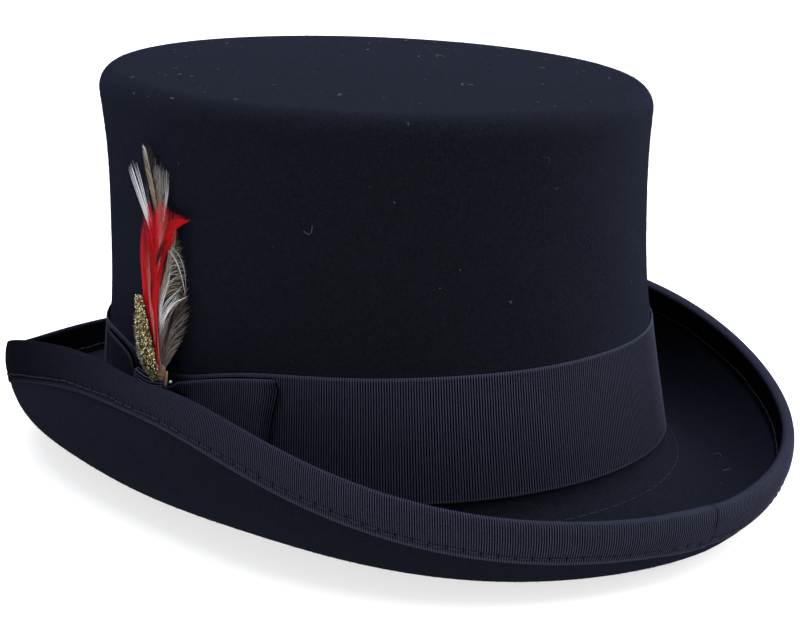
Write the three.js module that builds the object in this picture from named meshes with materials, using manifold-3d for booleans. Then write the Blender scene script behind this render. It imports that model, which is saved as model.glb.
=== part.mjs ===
// A felt top hat with a curled, ribbon-bound brim: hatband and flat bow, a spray of feathers that pulls
// out of the bow, a leather sweatband and a satin lining.
// Millimetres, +Z up. -Y is the front of the hat, +X the wearer's left, where the bow and feathers are.
import * as THREE from "three";
import { ParametricGeometry } from "three/addons/geometries/ParametricGeometry.js";
import { mergeVertices } from "three/addons/utils/BufferGeometryUtils.js";
import Module from "manifold-3d";

const wasm = await Module();
wasm.setup();

const GAP = 0.3; // air between neighbouring pieces
const TURNS = 56; // facets round the hat

// Felt body. Heights are counted up from the break, where the crown meets the brim.
const FELT = 2.6;
const PLAN_X = 86.5; // half width of the crown's outside at the break
const PLAN_Y = 104; // half length
const CROWN = 113; // height
const WAIST = 7; // how far the crown's side draws in
const WAIST_SPAN = 1.4; // the side follows half a sine wave this many side heights long
const TIP_EDGE = 7; // radius of the rounded edge round the tip
const TIP_RISE = 3; // dome of the tip
const TIP_SLOPE = Math.tan(THREE.MathUtils.degToRad(-2.5)); // the tip falls towards the back
const SADDLE = -3; // height of the break at the sides, against its height at the front and back

// Brim section: its pitch runs from straight down at the break to start, then curls up to finish.
const BREAK_ARC = 8;
const BRIM_ENDS = { start: -38, finish: 91, width: 63, power: 1.43 };
const BRIM_SIDES = { start: -17, finish: 116, width: 56.5, power: 0.4 };
const BRIM_CORNERS = { start: -14, finish: 0, width: -2, power: 0 };
const SIDE_BLEND = 1.6;
// The rim is a little uneven on the wearer's left: how far it rises, at which angle, and how wide.
const LIFTS = [
  { rise: 3.9, at: -0.65, spread: 0.36 },
  { rise: -3.7, at: 0.04, spread: 0.2 },
  { rise: -0.4, at: 0.3, spread: 0.2 },
];
const REST_CUT = 0.25; // depth of the two flats that the brim rests on

// Ribbon trim
const RIBBON = 0.6; // thickness of grosgrain
const BAND = { bottom: 0.6, top: 38 };
const BINDING_LEG = 11.3;
const BINDING_GAP = 0.45;

// Bow, wrapped round the crown's left side. Places along it are arc lengths from the middle of the side.
// standoff is how far the waist stands off the felt, which leaves the feather's pocket behind it.
const BOW = { centre: -2, half: 48.5, bottom: 2.5, top: 36, flat: 8, flare: 9, standoff: 4.6, hollow: 2.2 };
const BOW_PINCH = { bottom: 4, top: 8 };
const BOW_LAYER = 0.4;
const KNOT = { width: 14, wall: 0.5, room: 0.7, headroom: 1.1 };

// Inside the crown
const LINING = 0.5;
const LINING_HEM = 9;
const LEATHER = 1.2;
const SWEATBAND = { bottom: 0.8, top: 36 };
const REED = { bottom: 1, top: 7, thickness: 0.5 };

// Feather spray, in front of the crown's left side
const QUILL = { x: 85.05, y: -3.5, bottom: 17.5, top: 27.5, thickness: 0.8, width: 2.4 };
const WRAP = { bottom: 27.8, top: 31.1, halfY: 3.4, halfX: 1.6 };
const LAYER_PITCH = 0.8;
const VANE = 0.5;
const FIRST_LAYER = 83.75;

const wool = material(0x171a26, 0.95);
const grosgrain = material(0x14151d, 0.8);
const leather = material(0x2b1a12, 0.6);
const satin = material(0x1b1b26, 0.4);
const plastic = material(0x202020, 0.5);

function material(color, roughness, metalness = 0) {
  return new THREE.MeshStandardMaterial({ color, roughness, metalness });
}

function named(name, geometry, finish) {
  const mesh = new THREE.Mesh(geometry, finish.clone());
  mesh.name = name;
  return mesh;
}

function steps(count, from, to) {
  return Array.from({ length: count + 1 }, (_, k) => THREE.MathUtils.lerp(from, to, k / count));
}

// A closed surface swept round the hat. Each entry of the section places one ring, given the angle
// round the plan; the section runs up on the outside and down on the inside.
function swept(section) {
  const last = section.length - 1;
  const place = (u, v, target) => target.copy(section[Math.round(v * last)](u * 2 * Math.PI));
  return new ParametricGeometry(place, TURNS, last);
}

function sweptLoop(section) {
  return swept([...section, section[0]]);
}

// Crown

const SIDE = CROWN - TIP_EDGE;

function drawIn(height) {
  return -WAIST * Math.sin((Math.PI / WAIST_SPAN) * (height / SIDE));
}

// A point on an oval that is grown by offset from the plan, at a height above the break.
function crownPoint(angle, height, offset) {
  const y = (PLAN_Y + offset) * Math.sin(angle);
  const saddle = SADDLE * Math.cos(angle) ** 2 * (1 - height / CROWN);
  const z = height + saddle + TIP_SLOPE * y * (height / CROWN);
  return new THREE.Vector3((PLAN_X + offset) * Math.cos(angle), y, z);
}

// depth counts inward from the felt's outside face, and outward when it is negative
const sideRing = (height, depth) => (angle) => crownPoint(angle, height, drawIn(height) - depth);

function edgeRing(turn, depth) {
  const radius = TIP_EDGE - depth;
  const offset = drawIn(SIDE) - TIP_EDGE + radius * Math.cos(turn);
  return (angle) => crownPoint(angle, SIDE + radius * Math.sin(turn), offset);
}

function tipRing(share, depth) {
  const offset = drawIn(SIDE) - TIP_EDGE;
  const height = CROWN - depth + TIP_RISE * (1 - share ** 2);
  return (angle) => {
    const x = share * (PLAN_X + offset) * Math.cos(angle);
    const y = share * (PLAN_Y + offset) * Math.sin(angle);
    return new THREE.Vector3(x, y, height + TIP_SLOPE * y);
  };
}

// The crown's skin at one depth, from the side up over the rounded edge to the middle of the tip.
function crownRings(depth, from, sideSteps = 8) {
  return [
    ...steps(sideSteps, from, SIDE).map((height) => sideRing(height, depth)),
    ...steps(3, 0, Math.PI / 2).slice(1).map((turn) => edgeRing(turn, depth)),
    ...[0.6, 0].map((share) => tipRing(share, depth)),
  ];
}

// Brim

function brimShape(angle) {
  const side = Math.abs(Math.cos(angle)) ** SIDE_BLEND;
  const corner = Math.sin(2 * angle) ** 2;
  const blend = (key) => THREE.MathUtils.lerp(BRIM_ENDS[key], BRIM_SIDES[key], side) + BRIM_CORNERS[key] * corner;
  return { start: blend("start"), finish: blend("finish"), width: blend("width"), power: blend("power") };
}

function brimPitch(shape, s) {
  if (s < BREAK_ARC) {
    return THREE.MathUtils.degToRad(THREE.MathUtils.lerp(-90, shape.start, s / BREAK_ARC));
  }
  const share = ((s - BREAK_ARC) / (shape.width - BREAK_ARC)) ** shape.power;
  return THREE.MathUtils.degToRad(THREE.MathUtils.lerp(shape.start, shape.finish, share));
}

function rimLift(angle) {
  const wrapped = THREE.MathUtils.euclideanModulo(angle + Math.PI, 2 * Math.PI) - Math.PI;
  return LIFTS.reduce((sum, { rise, at, spread }) => sum + rise * Math.exp(-(((wrapped - at) / spread) ** 2)), 0);
}

// A point of the brim: s along the section of the felt's middle surface, lift towards its upper face,
// and past beyond the edge.
function brimPoint(angle, s, lift, past = 0) {
  const shape = brimShape(angle);
  const count = Math.max(1, Math.ceil(s));
  const step = s / count;
  let r = -FELT / 2;
  let z = SADDLE * Math.cos(angle) ** 2;
  for (let k = 0; k < count; k += 1) {
    const pitch = brimPitch(shape, (k + 0.5) * step);
    r += Math.cos(pitch) * step;
    z += Math.sin(pitch) * step;
  }
  const pitch = brimPitch(shape, s);
  r += past * Math.cos(pitch) - lift * Math.sin(pitch);
  z += past * Math.sin(pitch) + lift * Math.cos(pitch);
  z += rimLift(angle) * THREE.MathUtils.clamp((s - BREAK_ARC) / (shape.width - BREAK_ARC), 0, 1) ** 4;
  const out = new THREE.Vector2(Math.cos(angle) / PLAN_X, Math.sin(angle) / PLAN_Y).normalize();
  return new THREE.Vector3(PLAN_X * Math.cos(angle) + out.x * r, PLAN_Y * Math.sin(angle) + out.y * r, z);
}

// share 0 is the end of the break arc and share 1 is where the binding starts
function brimRing(share, lift) {
  return (angle) => {
    const bound = brimShape(angle).width - BINDING_LEG;
    return brimPoint(angle, THREE.MathUtils.lerp(BREAK_ARC, bound, share), lift);
  };
}

const breakRing = (s, lift) => (angle) => brimPoint(angle, s, lift);
const rimRing = (inset, lift, past = 0) => (angle) => brimPoint(angle, brimShape(angle).width - inset, lift, past);
const RIM_INSETS = steps(2, BINDING_LEG, 0);

function brimRings(lift) {
  return [
    ...steps(3, 0, BREAK_ARC).slice(1, -1).map((s) => breakRing(s, lift)),
    ...steps(8, 0, 1).slice(0, -1).map((share) => brimRing(share ** 1.25, lift)),
    ...RIM_INSETS.map((inset) => rimRing(inset, lift)),
  ];
}

// Solids cut and placed

function solid(geometry) {
  const bare = geometry.clone().deleteAttribute("normal").deleteAttribute("uv");
  const merged = mergeVertices(bare, 1e-3);
  const vertProperties = merged.attributes.position.array;
  return new wasm.Manifold(
    new wasm.Mesh({ numProp: 3, vertProperties, triVerts: new Uint32Array(merged.index.array) }),
  );
}

function geometryOf(body) {
  const mesh = body.getMesh();
  const geometry = new THREE.BufferGeometry();
  geometry.setAttribute("position", new THREE.BufferAttribute(mesh.vertProperties, 3));
  geometry.setIndex(new THREE.BufferAttribute(mesh.triVerts, 1));
  return geometry;
}

function feltBody() {
  const inside = crownRings(FELT, 0).reverse();
  const outside = crownRings(0, 0);
  return swept([...inside, ...brimRings(-FELT / 2), ...brimRings(FELT / 2).reverse(), ...outside]);
}

// Height of the plane that cuts the flats into the lowest places of the brim.
function restHeight(geometry) {
  geometry.computeBoundingBox();
  return geometry.boundingBox.min.z + REST_CUT;
}

function flattened(geometry, height) {
  const depth = 20;
  const below = new THREE.BoxGeometry(400, 400, depth).translate(0, 0, height - depth / 2);
  return geometryOf(solid(geometry).subtract(solid(below)));
}

// Rings of a strip that stands against the crown's side: outside up, then inside down.
function strip(bottom, top, outerDepth, innerDepth, count = 3) {
  const heights = steps(count, bottom, top);
  return sweptLoop([
    ...heights.map((height) => sideRing(height, outerDepth)),
    ...heights.reverse().map((height) => sideRing(height, innerDepth)),
  ]);
}

function hatband() {
  return strip(BAND.bottom, BAND.top, -GAP - RIBBON, -GAP);
}

// Ribbon folded over the brim's edge: the outer leg up, over the edge, and down the inner leg.
function brimBinding() {
  const near = FELT / 2 + BINDING_GAP;
  const far = near + RIBBON;
  const back = [...RIM_INSETS].reverse();
  const over = GAP + RIBBON;
  return sweptLoop([
    ...RIM_INSETS.map((inset) => rimRing(inset, -far)),
    rimRing(0, -far / 2, over),
    rimRing(0, far / 2, over),
    ...back.map((inset) => rimRing(inset, far)),
    ...RIM_INSETS.map((inset) => rimRing(inset, near)),
    rimRing(0, near, GAP),
    rimRing(0, -near, GAP),
    ...back.map((inset) => rimRing(inset, -near)),
  ]);
}

const LINING_DEPTH = FELT + GAP;
const LEATHER_DEPTH = LINING_DEPTH + LINING + GAP;

function sweatband() {
  return strip(SWEATBAND.bottom, SWEATBAND.top, LEATHER_DEPTH, LEATHER_DEPTH + LEATHER, 2);
}

function sweatbandReed() {
  return strip(REED.bottom, REED.top, LINING_DEPTH, LINING_DEPTH + REED.thickness, 1);
}

const LINING_TOP = SIDE - 4;

function liningSide() {
  return strip(LINING_HEM, LINING_TOP, LINING_DEPTH, LINING_DEPTH + LINING, 6);
}

// The lining's oval tip, a shallow cap whose edge turns down to meet the side lining.
function liningTip() {
  const rings = (depth) => [sideRing(LINING_TOP + GAP, depth), ...crownRings(depth, SIDE, 1).slice(1)];
  return swept([...rings(LINING_DEPTH + LINING).reverse(), ...rings(LINING_DEPTH)]);
}

// A flat bow laid against the inside of the sweatband, over its seam at the back.
function sweatbandBow() {
  const half = 11;
  const wing = 5;
  const waist = 1.8;
  const outline = new THREE.Shape();
  outline.moveTo(-half, -wing);
  outline.quadraticCurveTo(-half / 3, -wing, 0, -waist);
  outline.quadraticCurveTo(half / 3, -wing, half, -wing);
  outline.quadraticCurveTo(half + 1.5, 0, half, wing);
  outline.quadraticCurveTo(half / 3, wing, 0, waist);
  outline.quadraticCurveTo(-half / 3, wing, -half, wing);
  outline.quadraticCurveTo(-half - 1.5, 0, -half, -wing);
  const geometry = new THREE.ExtrudeGeometry(outline, { depth: 1, bevelEnabled: false, curveSegments: 4 });
  const height = 15;
  const place = crownPoint(Math.PI / 2, height, drawIn(height) - LEATHER_DEPTH - LEATHER - GAP);
  return geometry.rotateX(Math.PI / 2 + 0.14).translate(0, place.y - 1.2, place.z);
}

// Bow on the hatband

function bowPinch(arc) {
  const past = Math.max(0, Math.abs(arc - BOW.centre) - BOW.flat);
  return Math.exp(-((past / BOW.flare) ** 2));
}

// The ribbon loop seen from above, from its front end along the back layer and home along the front
// layer. grow is 0 on the loop's inside face and BOW_LAYER on its outside face.
function bowPath(turn, grow) {
  const along = -Math.cos(turn);
  const arc = BOW.centre + BOW.half * along;
  const pinch = bowPinch(arc);
  const back = THREE.MathUtils.lerp(RIBBON + 2 * GAP, BOW.standoff, pinch);
  const hollow = THREE.MathUtils.lerp(BOW.hollow, GAP, pinch) / 2;
  const layer = -Math.sign(Math.sin(turn)) * Math.abs(Math.sin(turn)) ** 0.35;
  return { arc: arc + grow * along, pinch, offset: back + BOW_LAYER + hollow + layer * (hollow + grow) };
}

function bowLoop() {
  const corners = [
    { up: 1, grow: BOW_LAYER },
    { up: 0, grow: BOW_LAYER },
    { up: 0, grow: 0 },
    { up: 1, grow: 0 },
  ];
  const place = (u, v, target) => {
    const { up, grow } = corners[Math.round(v * 4) % 4];
    const { arc, pinch, offset } = bowPath(2 * Math.PI * u, grow);
    const bottom = BOW.bottom + BOW_PINCH.bottom * pinch;
    const top = BOW.top - BOW_PINCH.top * pinch;
    const height = THREE.MathUtils.lerp(bottom, top, up);
    target.copy(crownPoint(arc / PLAN_Y, height, drawIn(height) + offset));
  };
  return new ParametricGeometry(place, 48, 4);
}

// A short ribbon wrapped round the bow's waist, leaving a flat tunnel for the two layers.
function bowKnot() {
  const outline = rectangle(KNOT_DEPTH / 2 + KNOT.wall, KNOT_HEIGHT / 2 + KNOT.wall);
  outline.holes.push(rectangle(KNOT_DEPTH / 2, KNOT_HEIGHT / 2));
  const geometry = new THREE.ExtrudeGeometry(outline, { depth: KNOT.width, bevelEnabled: false });
  return geometry.rotateX(Math.PI / 2).translate(0, KNOT.width / 2, 0);
}

function rectangle(halfWidth, halfHeight) {
  const shape = new THREE.Shape();
  shape.moveTo(-halfWidth, -halfHeight);
  shape.lineTo(halfWidth, -halfHeight);
  shape.lineTo(halfWidth, halfHeight);
  shape.lineTo(-halfWidth, halfHeight);
  shape.closePath();
  return shape;
}

const KNOT_DEPTH = 2 * BOW_LAYER + GAP + 2 * KNOT.room;
const WAIST_BOTTOM = BOW.bottom + BOW_PINCH.bottom;
const WAIST_TOP = BOW.top - BOW_PINCH.top;
const KNOT_HEIGHT = WAIST_TOP - WAIST_BOTTOM + 2 * KNOT.headroom;

function placedKnot() {
  const knot = named("bow_knot", bowKnot(), grosgrain);
  const height = (WAIST_BOTTOM + WAIST_TOP) / 2;
  const angle = BOW.centre / PLAN_Y;
  const offset = BOW.standoff + BOW_LAYER + GAP / 2;
  knot.position.copy(crownPoint(angle, height, drawIn(height) + offset));
  knot.rotation.order = "ZYX";
  knot.rotation.z = Math.atan2(Math.sin(angle) / PLAN_Y, Math.cos(angle) / PLAN_X);
  knot.rotation.y = Math.atan2(drawIn(WAIST_TOP) - drawIn(WAIST_BOTTOM), WAIST_TOP - WAIST_BOTTOM);
  return knot;
}

// Feather spray

// A feather seen from the side of the hat: [y, z] of its root and tip, and how far its two edges belly
// out to the front and back. late puts the widest place nearer the tip.
const FEATHERS = [
  { name: "white_hackle_front", layer: 0, root: [-5.2, 31.4], tip: [-13, 91], front: 7, back: 2, late: 0.8 },
  { name: "white_hackle_rear", layer: 0, root: [-2, 31.4], tip: [3.2, 91], front: 2, back: 7, late: 0.8 },
  { name: "tan_feather", layer: 1, root: [-4.6, 31.4], tip: [-5.8, 97], front: 3, back: 3, late: 0.9 },
  { name: "partridge_feather", layer: 1, root: [-1.8, 31.4], tip: [6, 60], front: 2, back: 14, late: 0.4 },
  { name: "cream_hackle", layer: 2, root: [-3, 31.4], tip: [9, 73], front: 8, back: 9, late: 0.5 },
  { name: "red_feather", layer: 3, root: [-3.5, 31.4], tip: [-3, 78.5], front: 17, back: 7, late: 0.6 },
  { name: "gold_leaf", layer: 4, root: [-5.2, 31.4], tip: [-15.5, 50.5], front: 12, back: 3, late: 0.4 },
  { name: "red_tip_feather", layer: 4, root: [-2.2, 31.4], tip: [12.6, 77], front: 1, back: 4, late: 0.7 },
];
const FEATHER_FINISH = {
  white_hackle_front: material(0xd8d3c8, 0.8),
  white_hackle_rear: material(0xc9bca8, 0.8),
  tan_feather: material(0x9a7a55, 0.8),
  partridge_feather: material(0x5a463c, 0.9),
  cream_hackle: material(0xd2c7b8, 0.8),
  red_feather: material(0xc2141c, 0.7),
  gold_leaf: material(0xb09a4c, 0.35, 0.8),
  red_tip_feather: material(0xb8121a, 0.7),
};

function vane({ root, tip, front, back, late }) {
  const start = new THREE.Vector2(...root);
  const end = new THREE.Vector2(...tip);
  const along = end.clone().sub(start);
  const across = new THREE.Vector2(-along.y, along.x).normalize();
  const control = (share, reach) => start.clone().addScaledVector(along, share).addScaledVector(across, reach);
  const halfRoot = 0.5;
  const frontRoot = start.clone().addScaledVector(across, halfRoot);
  const backRoot = start.clone().addScaledVector(across, -halfRoot);
  const low = control(late * 0.7, front);
  const high = control(Math.min(late + 0.25, 1), front);
  const highBack = control(Math.min(late + 0.25, 1), -back);
  const lowBack = control(late * 0.7, -back);
  const outline = new THREE.Shape();
  outline.moveTo(frontRoot.x, frontRoot.y);
  outline.bezierCurveTo(low.x, low.y, high.x, high.y, end.x, end.y);
  outline.bezierCurveTo(highBack.x, highBack.y, lowBack.x, lowBack.y, backRoot.x, backRoot.y);
  outline.closePath();
  return outline;
}

// The outline is drawn as (y, z) and thickened along +X.
function feather(plan) {
  const geometry = new THREE.ExtrudeGeometry(vane(plan), { depth: VANE, bevelEnabled: false, curveSegments: 8 });
  geometry.rotateX(Math.PI / 2).rotateZ(Math.PI / 2);
  return geometry.translate(FIRST_LAYER + plan.layer * LAYER_PITCH, 0, 0);
}

function featherStem() {
  const length = QUILL.top - QUILL.bottom;
  const geometry = new THREE.CylinderGeometry(0.5, 0.3, length, 8).rotateX(Math.PI / 2);
  geometry.scale(QUILL.thickness, QUILL.width, 1);
  return geometry.translate(QUILL.x, QUILL.y, QUILL.bottom + length / 2);
}

function featherWrap() {
  const height = WRAP.top - WRAP.bottom;
  const geometry = new THREE.CylinderGeometry(1, 0.8, height, 16).rotateX(Math.PI / 2);
  geometry.scale(WRAP.halfX, WRAP.halfY, 1);
  return geometry.translate(QUILL.x + 0.4, QUILL.y, WRAP.bottom + height / 2);
}

function featherSpray() {
  const spray = new THREE.Group();
  spray.add(...FEATHERS.map((plan) => named(plan.name, feather(plan), FEATHER_FINISH[plan.name])));
  spray.add(named("feather_stem", featherStem(), material(0xcdb896, 0.6)));
  spray.add(named("feather_wrap", featherWrap(), material(0x6d4a2c, 0.7)));
  return spray;
}

const felt = feltBody();
const rest = restHeight(felt);
const hat = new THREE.Group();
hat.add(
  named("felt_body", flattened(felt, rest), wool),
  named("hatband", hatband(), grosgrain),
  named("bow_loop", bowLoop(), grosgrain),
  placedKnot(),
  named("brim_binding", brimBinding(), grosgrain),
  named("sweatband", sweatband(), leather),
  named("sweatband_reed", sweatbandReed(), plastic),
  named("sweatband_bow", sweatbandBow(), satin),
  named("lining_side", liningSide(), satin),
  named("lining_tip", liningTip(), satin),
  featherSpray(),
);
hat.position.z = -rest;

export default hat;
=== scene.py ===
"""Looks of a navy felt top hat: felt and nap, grosgrain trim, stitches, lining and a feather spray."""
import math

import bpy
import numpy as np
from mathutils import Matrix, Vector


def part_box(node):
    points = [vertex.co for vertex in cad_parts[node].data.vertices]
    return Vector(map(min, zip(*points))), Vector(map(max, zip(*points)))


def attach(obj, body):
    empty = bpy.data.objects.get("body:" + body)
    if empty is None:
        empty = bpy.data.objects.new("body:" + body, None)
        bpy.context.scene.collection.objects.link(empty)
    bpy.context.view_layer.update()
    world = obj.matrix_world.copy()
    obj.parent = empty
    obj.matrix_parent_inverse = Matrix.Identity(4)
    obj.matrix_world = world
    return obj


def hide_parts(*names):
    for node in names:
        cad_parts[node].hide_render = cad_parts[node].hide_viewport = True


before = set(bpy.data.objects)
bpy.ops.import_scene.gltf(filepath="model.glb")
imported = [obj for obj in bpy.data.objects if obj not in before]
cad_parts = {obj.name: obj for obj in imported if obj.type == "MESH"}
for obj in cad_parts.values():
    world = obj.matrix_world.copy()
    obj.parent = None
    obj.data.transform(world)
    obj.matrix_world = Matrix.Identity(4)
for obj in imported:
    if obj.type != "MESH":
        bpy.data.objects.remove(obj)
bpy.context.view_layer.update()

MM = 0.001
TAU = 2 * math.pi
rng = np.random.default_rng(7)

# Shape of the hat, the same as the CAD's, in millimetres. Heights count up from the break, where the
# crown meets the brim. -Y is the front, +X the wearer's left.
FELT = 2.6
PLAN_X, PLAN_Y = 86.5, 104.0
CROWN, WAIST, WAIST_SPAN = 113.0, 7.0, 1.4
TIP_EDGE, TIP_RISE, TIP_SLOPE = 7.0, 3.0, math.tan(math.radians(-2.5))
SIDE = CROWN - TIP_EDGE
SADDLE = -3.0
BREAK_ARC = 8.0
BRIM_ENDS = np.array([-38.0, 91.0, 63.0, 1.43])  # start and finish pitch, width, power
BRIM_SIDES = np.array([-17.0, 116.0, 56.5, 0.4])
BRIM_CORNERS = np.array([-14.0, 0.0, -2.0, 0.0])
SIDE_BLEND = 1.6
# The rim's uneven rise, as height, angle and spread.
LIFTS = ((3.9, -0.65, 0.36), (-3.7, 0.04, 0.2), (-0.4, 0.3, 0.2))
BAND_BOTTOM, BAND_TOP = 0.6, 38.0
BINDING_LEG = 11.3
LOWEST = 0.02  # no point of the looks goes below this height over the floor
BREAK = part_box("hatband")[0].z / MM - (BAND_BOTTOM + SADDLE * (1 - BAND_BOTTOM / CROWN))


def smooth(a, b, x):
    t = np.clip((x - a) / (b - a), 0, 1)
    return t * t * (3 - 2 * t)


def mix(a, b, t):
    return a + (b - a) * t


def wrapped(angle):
    """The same angle between -pi and pi."""
    return (angle + math.pi) % TAU - math.pi


def unit(vectors, least=0.0):
    return vectors / (np.linalg.norm(vectors, axis=-1, keepdims=True) + least)


# Camera, floor and lights

EYE, AIM = (350.66, 407.49, 171.38), (-2.53, 10.38, 29.99)  # millimetres, heights from the break
LENS, SENSOR, ROLL = 74.21, 36, math.radians(-1.114)
SKY, FLOOR_GLOW, FLOOR_HALF = 0.66, 0.72, 60  # the floor's and lights' sizes and places are in metres
SUN_POWER, SUN_ANGLE, SUN_COLOUR, SUN_FROM = 6.2, math.radians(75), (0.9, 0.97, 1.15), (-0.25, -0.05, 1)
BOX_POWER, BOX_AT, BOX_AIM, BOX_SIZE = 27, (-1.2, 0.7, 0.6), (0, 0, 0.07), 0.9


def linked(name, data):
    ob = bpy.data.objects.new(name, data)
    bpy.context.scene.collection.objects.link(ob)
    return ob


def facing(place, aim):
    """The matrix of a camera or light at a place that looks at another."""
    return Matrix.Translation(place) @ (aim - place).to_track_quat("-Z", "Y").to_matrix().to_4x4()


def camera():
    eye, aim = (Vector((x, y, z + BREAK)) * MM for x, y, z in (EYE, AIM))
    data = bpy.data.cameras.new("camera")
    data.lens, data.sensor_width = LENS, SENSOR
    ob = linked("camera", data)
    ob.matrix_world = facing(eye, aim) @ Matrix.Rotation(ROLL, 4, "Z")
    bpy.context.scene.camera = ob
    bpy.context.scene.view_settings.view_transform = "Standard"


def studio():
    world = bpy.data.worlds.new("studio")
    bpy.context.scene.world = world
    world.use_nodes = True
    background = world.node_tree.nodes["Background"]
    background.inputs["Color"].default_value = (1, 1, 1, 1)
    background.inputs["Strength"].default_value = SKY

    sun = bpy.data.lights.new("overhead", "SUN")
    sun.energy, sun.angle, sun.color = SUN_POWER, SUN_ANGLE, SUN_COLOUR
    linked("overhead", sun).matrix_world = Vector(SUN_FROM).to_track_quat("Z", "Y").to_matrix().to_4x4()

    box = bpy.data.lights.new("right", "AREA")
    box.shape, box.size, box.size_y, box.energy = "RECTANGLE", BOX_SIZE, BOX_SIZE, BOX_POWER
    linked("right", box).matrix_world = facing(Vector(BOX_AT), Vector(BOX_AIM))

    mesh = bpy.data.meshes.new("floor")
    h = FLOOR_HALF
    mesh.from_pydata([(-h, -h, 0), (h, -h, 0), (h, h, 0), (-h, h, 0)], [], [(0, 1, 2, 3)])
    glow = {"Emission_Color": (1, 1, 1, 1), "Emission_Strength": FLOOR_GLOW}
    mesh.materials.append(shader("floor_white", (0.4, 0.4, 0.4), 0.9, **glow).mat)
    linked("floor", mesh)


# Materials

class shader:
    """A Principled material, with short ways to drive it from nodes."""

    def __init__(self, name, colour, roughness, **sockets):
        self.mat = bpy.data.materials.new(name)
        self.mat.use_nodes = True
        self.tree = self.mat.node_tree
        self.bsdf = self.tree.nodes["Principled BSDF"]
        self.set(Base_Color=(*colour, 1), Roughness=roughness, **sockets)

    def set(self, **sockets):
        for key, value in sockets.items():
            self.bsdf.inputs[key.replace("_", " ")].default_value = value

    def node(self, kind, inputs=None, **settings):
        made = self.tree.nodes.new("ShaderNode" + kind)
        for key, value in settings.items():
            setattr(made, key, value)
        for key, value in (inputs or {}).items():
            self.put(made.inputs[key], value)
        return made

    def put(self, socket, value):
        if isinstance(value, bpy.types.NodeSocket):
            self.tree.links.new(value, socket)
        else:
            socket.default_value = value

    def place(self):
        return self.node("TexCoord").outputs["Object"]

    def noise(self, scale, detail=3.0, roughness=0.6, distortion=0.0, where=None):
        inputs = {"Scale": scale, "Detail": detail, "Roughness": roughness, "Distortion": distortion}
        inputs["Vector"] = where or self.place()
        return self.node("TexNoise", inputs).outputs["Fac"]

    def math(self, operation, a, b=0.0):
        return self.node("Math", {0: a, 1: b}, operation=operation).outputs[0]

    def remap(self, value, low, high, to_low=0.0, to_high=1.0):
        inputs = {"Value": value, "From Min": low, "From Max": high, "To Min": to_low, "To Max": to_high}
        return self.node("MapRange", inputs).outputs["Result"]

    def blend(self, factor, a, b, kind="MIX"):
        made = self.node("Mix", data_type="RGBA", blend_type=kind)
        self.put(made.inputs[0], factor)
        for socket, value in ((made.inputs[6], a), (made.inputs[7], b)):
            self.put(socket, (*value, 1) if isinstance(value, tuple) else value)
        return made.outputs[2]

    def attribute(self, name):
        return self.node("Attribute", attribute_name=name)

    def split(self, vector):
        return self.node("SeparateXYZ", {0: vector}).outputs

    def colour(self, value):
        self.put(self.bsdf.inputs["Base Color"], value)

    def rough(self, value):
        self.put(self.bsdf.inputs["Roughness"], value)

    def bump(self, height, distance, strength=1.0):
        made = self.node("Bump", {"Height": height, "Strength": strength, "Distance": distance})
        self.put(self.bsdf.inputs["Normal"], made.outputs["Normal"])


def felt_material():
    s = shader("navy_felt", (0.009, 0.0095, 0.013), 0.95, Sheen_Weight=0.026, Sheen_Roughness=0.45)
    s.set(Sheen_Tint=(0.38, 0.52, 1.0, 1), Specular_IOR_Level=0.0)
    grain = s.noise(1500, 6, 0.75, 0.8)
    patches = s.noise(240, 5, 0.7)
    mottled = s.blend(s.remap(grain, 0.32, 0.68), (0.0028, 0.0030, 0.0042), (0.0105, 0.0110, 0.0150))
    s.colour(s.blend(s.remap(patches, 0.3, 0.7, 0.0, 0.35), mottled, (0.0046, 0.0049, 0.0068)))
    hairs = s.noise(700, 8, 0.85, 2.5)
    s.bump(s.math("ADD", s.math("MULTIPLY", grain, 0.5), hairs), 0.00035, 0.75)
    return s.mat


def nap_material():
    s = shader("navy_fibre", (0.016, 0.018, 0.03), 0.8, Specular_IOR_Level=0.1)
    s.colour(s.attribute("tint").outputs["Color"])
    return s.mat


THREAD_PITCH = 0.24


def grosgrain_material(name, low, high):
    """low and high are the colours in the valleys and on the ridges of the ribs: painted shade in the valleys
    and painted light on the ridges.
    """
    s = shader(name, high, 0.62, Specular_IOR_Level=0.0)
    _, across, rib = s.split(s.attribute("cloth").outputs["Vector"])
    threads = s.math("SINE", s.math("MULTIPLY", across, TAU / THREAD_PITCH))
    fuzz = s.noise(1400, 4, 0.7)
    ridge = s.math("POWER", rib, 2.0)
    shade = s.math("MULTIPLY", ridge, s.remap(fuzz, 0.3, 0.7, 0.7, 1.15))
    # The light attribute is painted light and shade: it scales the ribs' tone, and the pale selvage with it.
    tone = s.blend(s.math("MULTIPLY", shade, s.attribute("light").outputs["Fac"]), low, high)
    selvage = s.math("MULTIPLY", s.attribute("edge").outputs["Fac"], rib)
    selvage = s.math("MULTIPLY", selvage, s.attribute("light").outputs["Fac"])
    pale = tuple(v * 0.85 for v in high)
    s.colour(s.blend(selvage, tone, pale))
    patches = s.noise(120, 3, 0.5)
    s.rough(s.remap(patches, 0.3, 0.7, 0.52, 0.72))
    s.bump(s.math("ADD", s.math("MULTIPLY", threads, 0.35), fuzz), 0.00006, 0.8)
    return s.mat


def thread_material(name, colour):
    s = shader(name, colour, 0.6, Specular_IOR_Level=0.0)
    twist = s.noise(2600, 3, 0.6, 1.0)
    dark, pale = (tuple(min(1, v * share) for v in colour) for share in (0.6, 1.3))
    s.colour(s.blend(s.remap(twist, 0.3, 0.7), dark, pale))
    s.bump(twist, 0.0001, 0.6)
    return s.mat


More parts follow.
